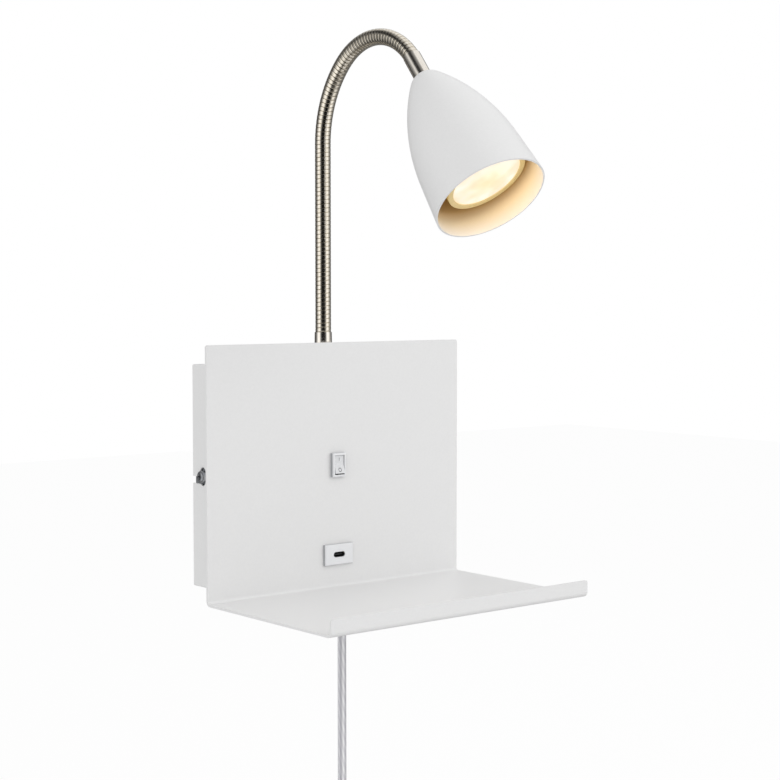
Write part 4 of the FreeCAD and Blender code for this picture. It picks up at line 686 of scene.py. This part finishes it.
world = bpy.data.worlds.new("studio")
bpy.context.scene.world = world
world.use_nodes = True
tree = world.node_tree
out = tree.nodes["World Output"]
sky = tree.nodes["Background"]
sky.inputs["Color"].default_value = linear("#FFFFFF")
sky.inputs["Strength"].default_value = 0.85
seen = add(tree, "ShaderNodeLightPath")
plain = add(tree, "ShaderNodeBackground", {"Color": linear("#FFFFFF"), "Strength": 1.0})
mirrored = add(tree, "ShaderNodeBackground", {"Strength": 1.0})
# What polished metal shows, by compass direction from the camera's own and by height: a dark opening where
# the camera stands, a tall white box about 60 degrees to each side of it, grey walls behind, a pale ceiling
# with a dark beam on its left, and a plain grey floor.
direction = add(tree, "ShaderNodeTexCoord")


def facing_way(x, y):
    """How far the direction looks along a level vector."""
    node = add(tree, "ShaderNodeVectorMath", {"operation": "DOT_PRODUCT", 1: (x, y, 0.0)},
               {0: direction.outputs["Generated"]})
    return node.outputs[1]


to_camera = facing_way(-math.sin(VIEW_YAW), -math.cos(VIEW_YAW))
to_left = facing_way(-math.cos(VIEW_YAW), math.sin(VIEW_YAW))
compass = add(tree, "ShaderNodeMath", {"operation": "ARCTAN2"}, {0: to_left, 1: to_camera})
bearing = add(tree, "ShaderNodeMath", {"operation": "MULTIPLY_ADD", 1: 1 / (2 * math.pi), 2: 0.5},
              {0: compass.outputs[0]})


def by_degrees(stops):
    """Ramp stops from pairs of degrees left of the camera and a grey from 0 to 255."""
    return [(degrees / 360 + 0.5, "#%02X%02X%02X" % (grey, grey, grey)) for degrees, grey in stops]


around = ramp(tree, bearing.outputs[0], by_degrees([
    (-180, 112), (-125, 100), (-100, 160), (-75, 255), (-55, 255), (-36, 90), (-16, 12),
    (14, 12), (30, 100), (48, 255), (66, 255), (95, 130), (118, 62), (145, 100), (180, 112)]))
height = add(tree, "ShaderNodeSeparateXYZ", links={0: direction.outputs["Generated"]})


def over_height(low, high):
    """From 0 to 1 while the height goes from low to high."""
    node = add(tree, "ShaderNodeMapRange",
               {"interpolation_type": "SMOOTHSTEP", "From Min": low, "From Max": high},
               {"Value": height.outputs[2]})
    return node.outputs[0]


beam = ramp(tree, height.outputs[2], [(0.45, "#828282"), (0.66, "#262626"), (0.82, "#262626"),
                                      (0.92, "#7C7C7C"), (1.0, "#C0C0C0")])
left_side = ramp(tree, bearing.outputs[0], by_degrees([(-40, 0), (-12, 255), (135, 255), (170, 0)]))
ceiling = add(tree, "ShaderNodeMix", {"data_type": "RGBA"}, {0: left_side, 7: beam})
ceiling.inputs[6].default_value = linear("#E4E4E4")
upper = add(tree, "ShaderNodeMix", {"data_type": "RGBA"},
            {0: over_height(0.36, 0.62), 6: around, 7: ceiling.outputs[2]})
whole = add(tree, "ShaderNodeMix", {"data_type": "RGBA"}, {0: over_height(-0.55, -0.95), 6: upper.outputs[2]})
whole.inputs[7].default_value = linear("#6C6A66")
tree.links.new(whole.outputs[2], mirrored.inputs["Color"])
mirrored.inputs["Strength"].default_value = 1.25
shown = add(tree, "ShaderNodeMath", {"operation": "MAXIMUM"}, {0: seen.outputs["Is Camera Ray"],
                                                              1: seen.outputs["Is Transmission Ray"]})
first = add(tree, "ShaderNodeMixShader", links={0: seen.outputs["Is Glossy Ray"], 1: sky.outputs[0],
                                                2: mirrored.outputs[0]})
second = add(tree, "ShaderNodeMixShader", links={0: shown.outputs[0], 1: first.outputs[0],
                                                 2: plain.outputs[0]})
tree.links.new(second.outputs[0], out.inputs["Surface"])


def soft_light(name, place, target, width, energy, color="#FFFFFF"):
    """A square soft box that points at a target."""
    light = bpy.data.objects.new(name, bpy.data.lights.new(name, "AREA"))
    light.data.size = width
    light.data.energy = energy
    light.data.color = linear(color)[:3]
    light.matrix_world = (Matrix.Translation(Vector(place))
                          @ (Vector(target) - Vector(place)).to_track_quat("-Z", "Y").to_matrix().to_4x4())
    light.visible_glossy = False
    light.visible_camera = False
    bpy.context.scene.collection.objects.link(light)


soft_light("soft_box_right", (1.1, -1.5, 0.9), (0.0, -0.05, 0.05), 1.2, 7.0)
soft_light("soft_box_back", (1.3, 0.7, 0.9), (0.0, -0.1, 0.2), 0.9, 3.0)
soft_light("soft_box_left", (-2.0, -0.6, 0.6), (0.0, -0.05, 0.05), 1.4, 4.0)
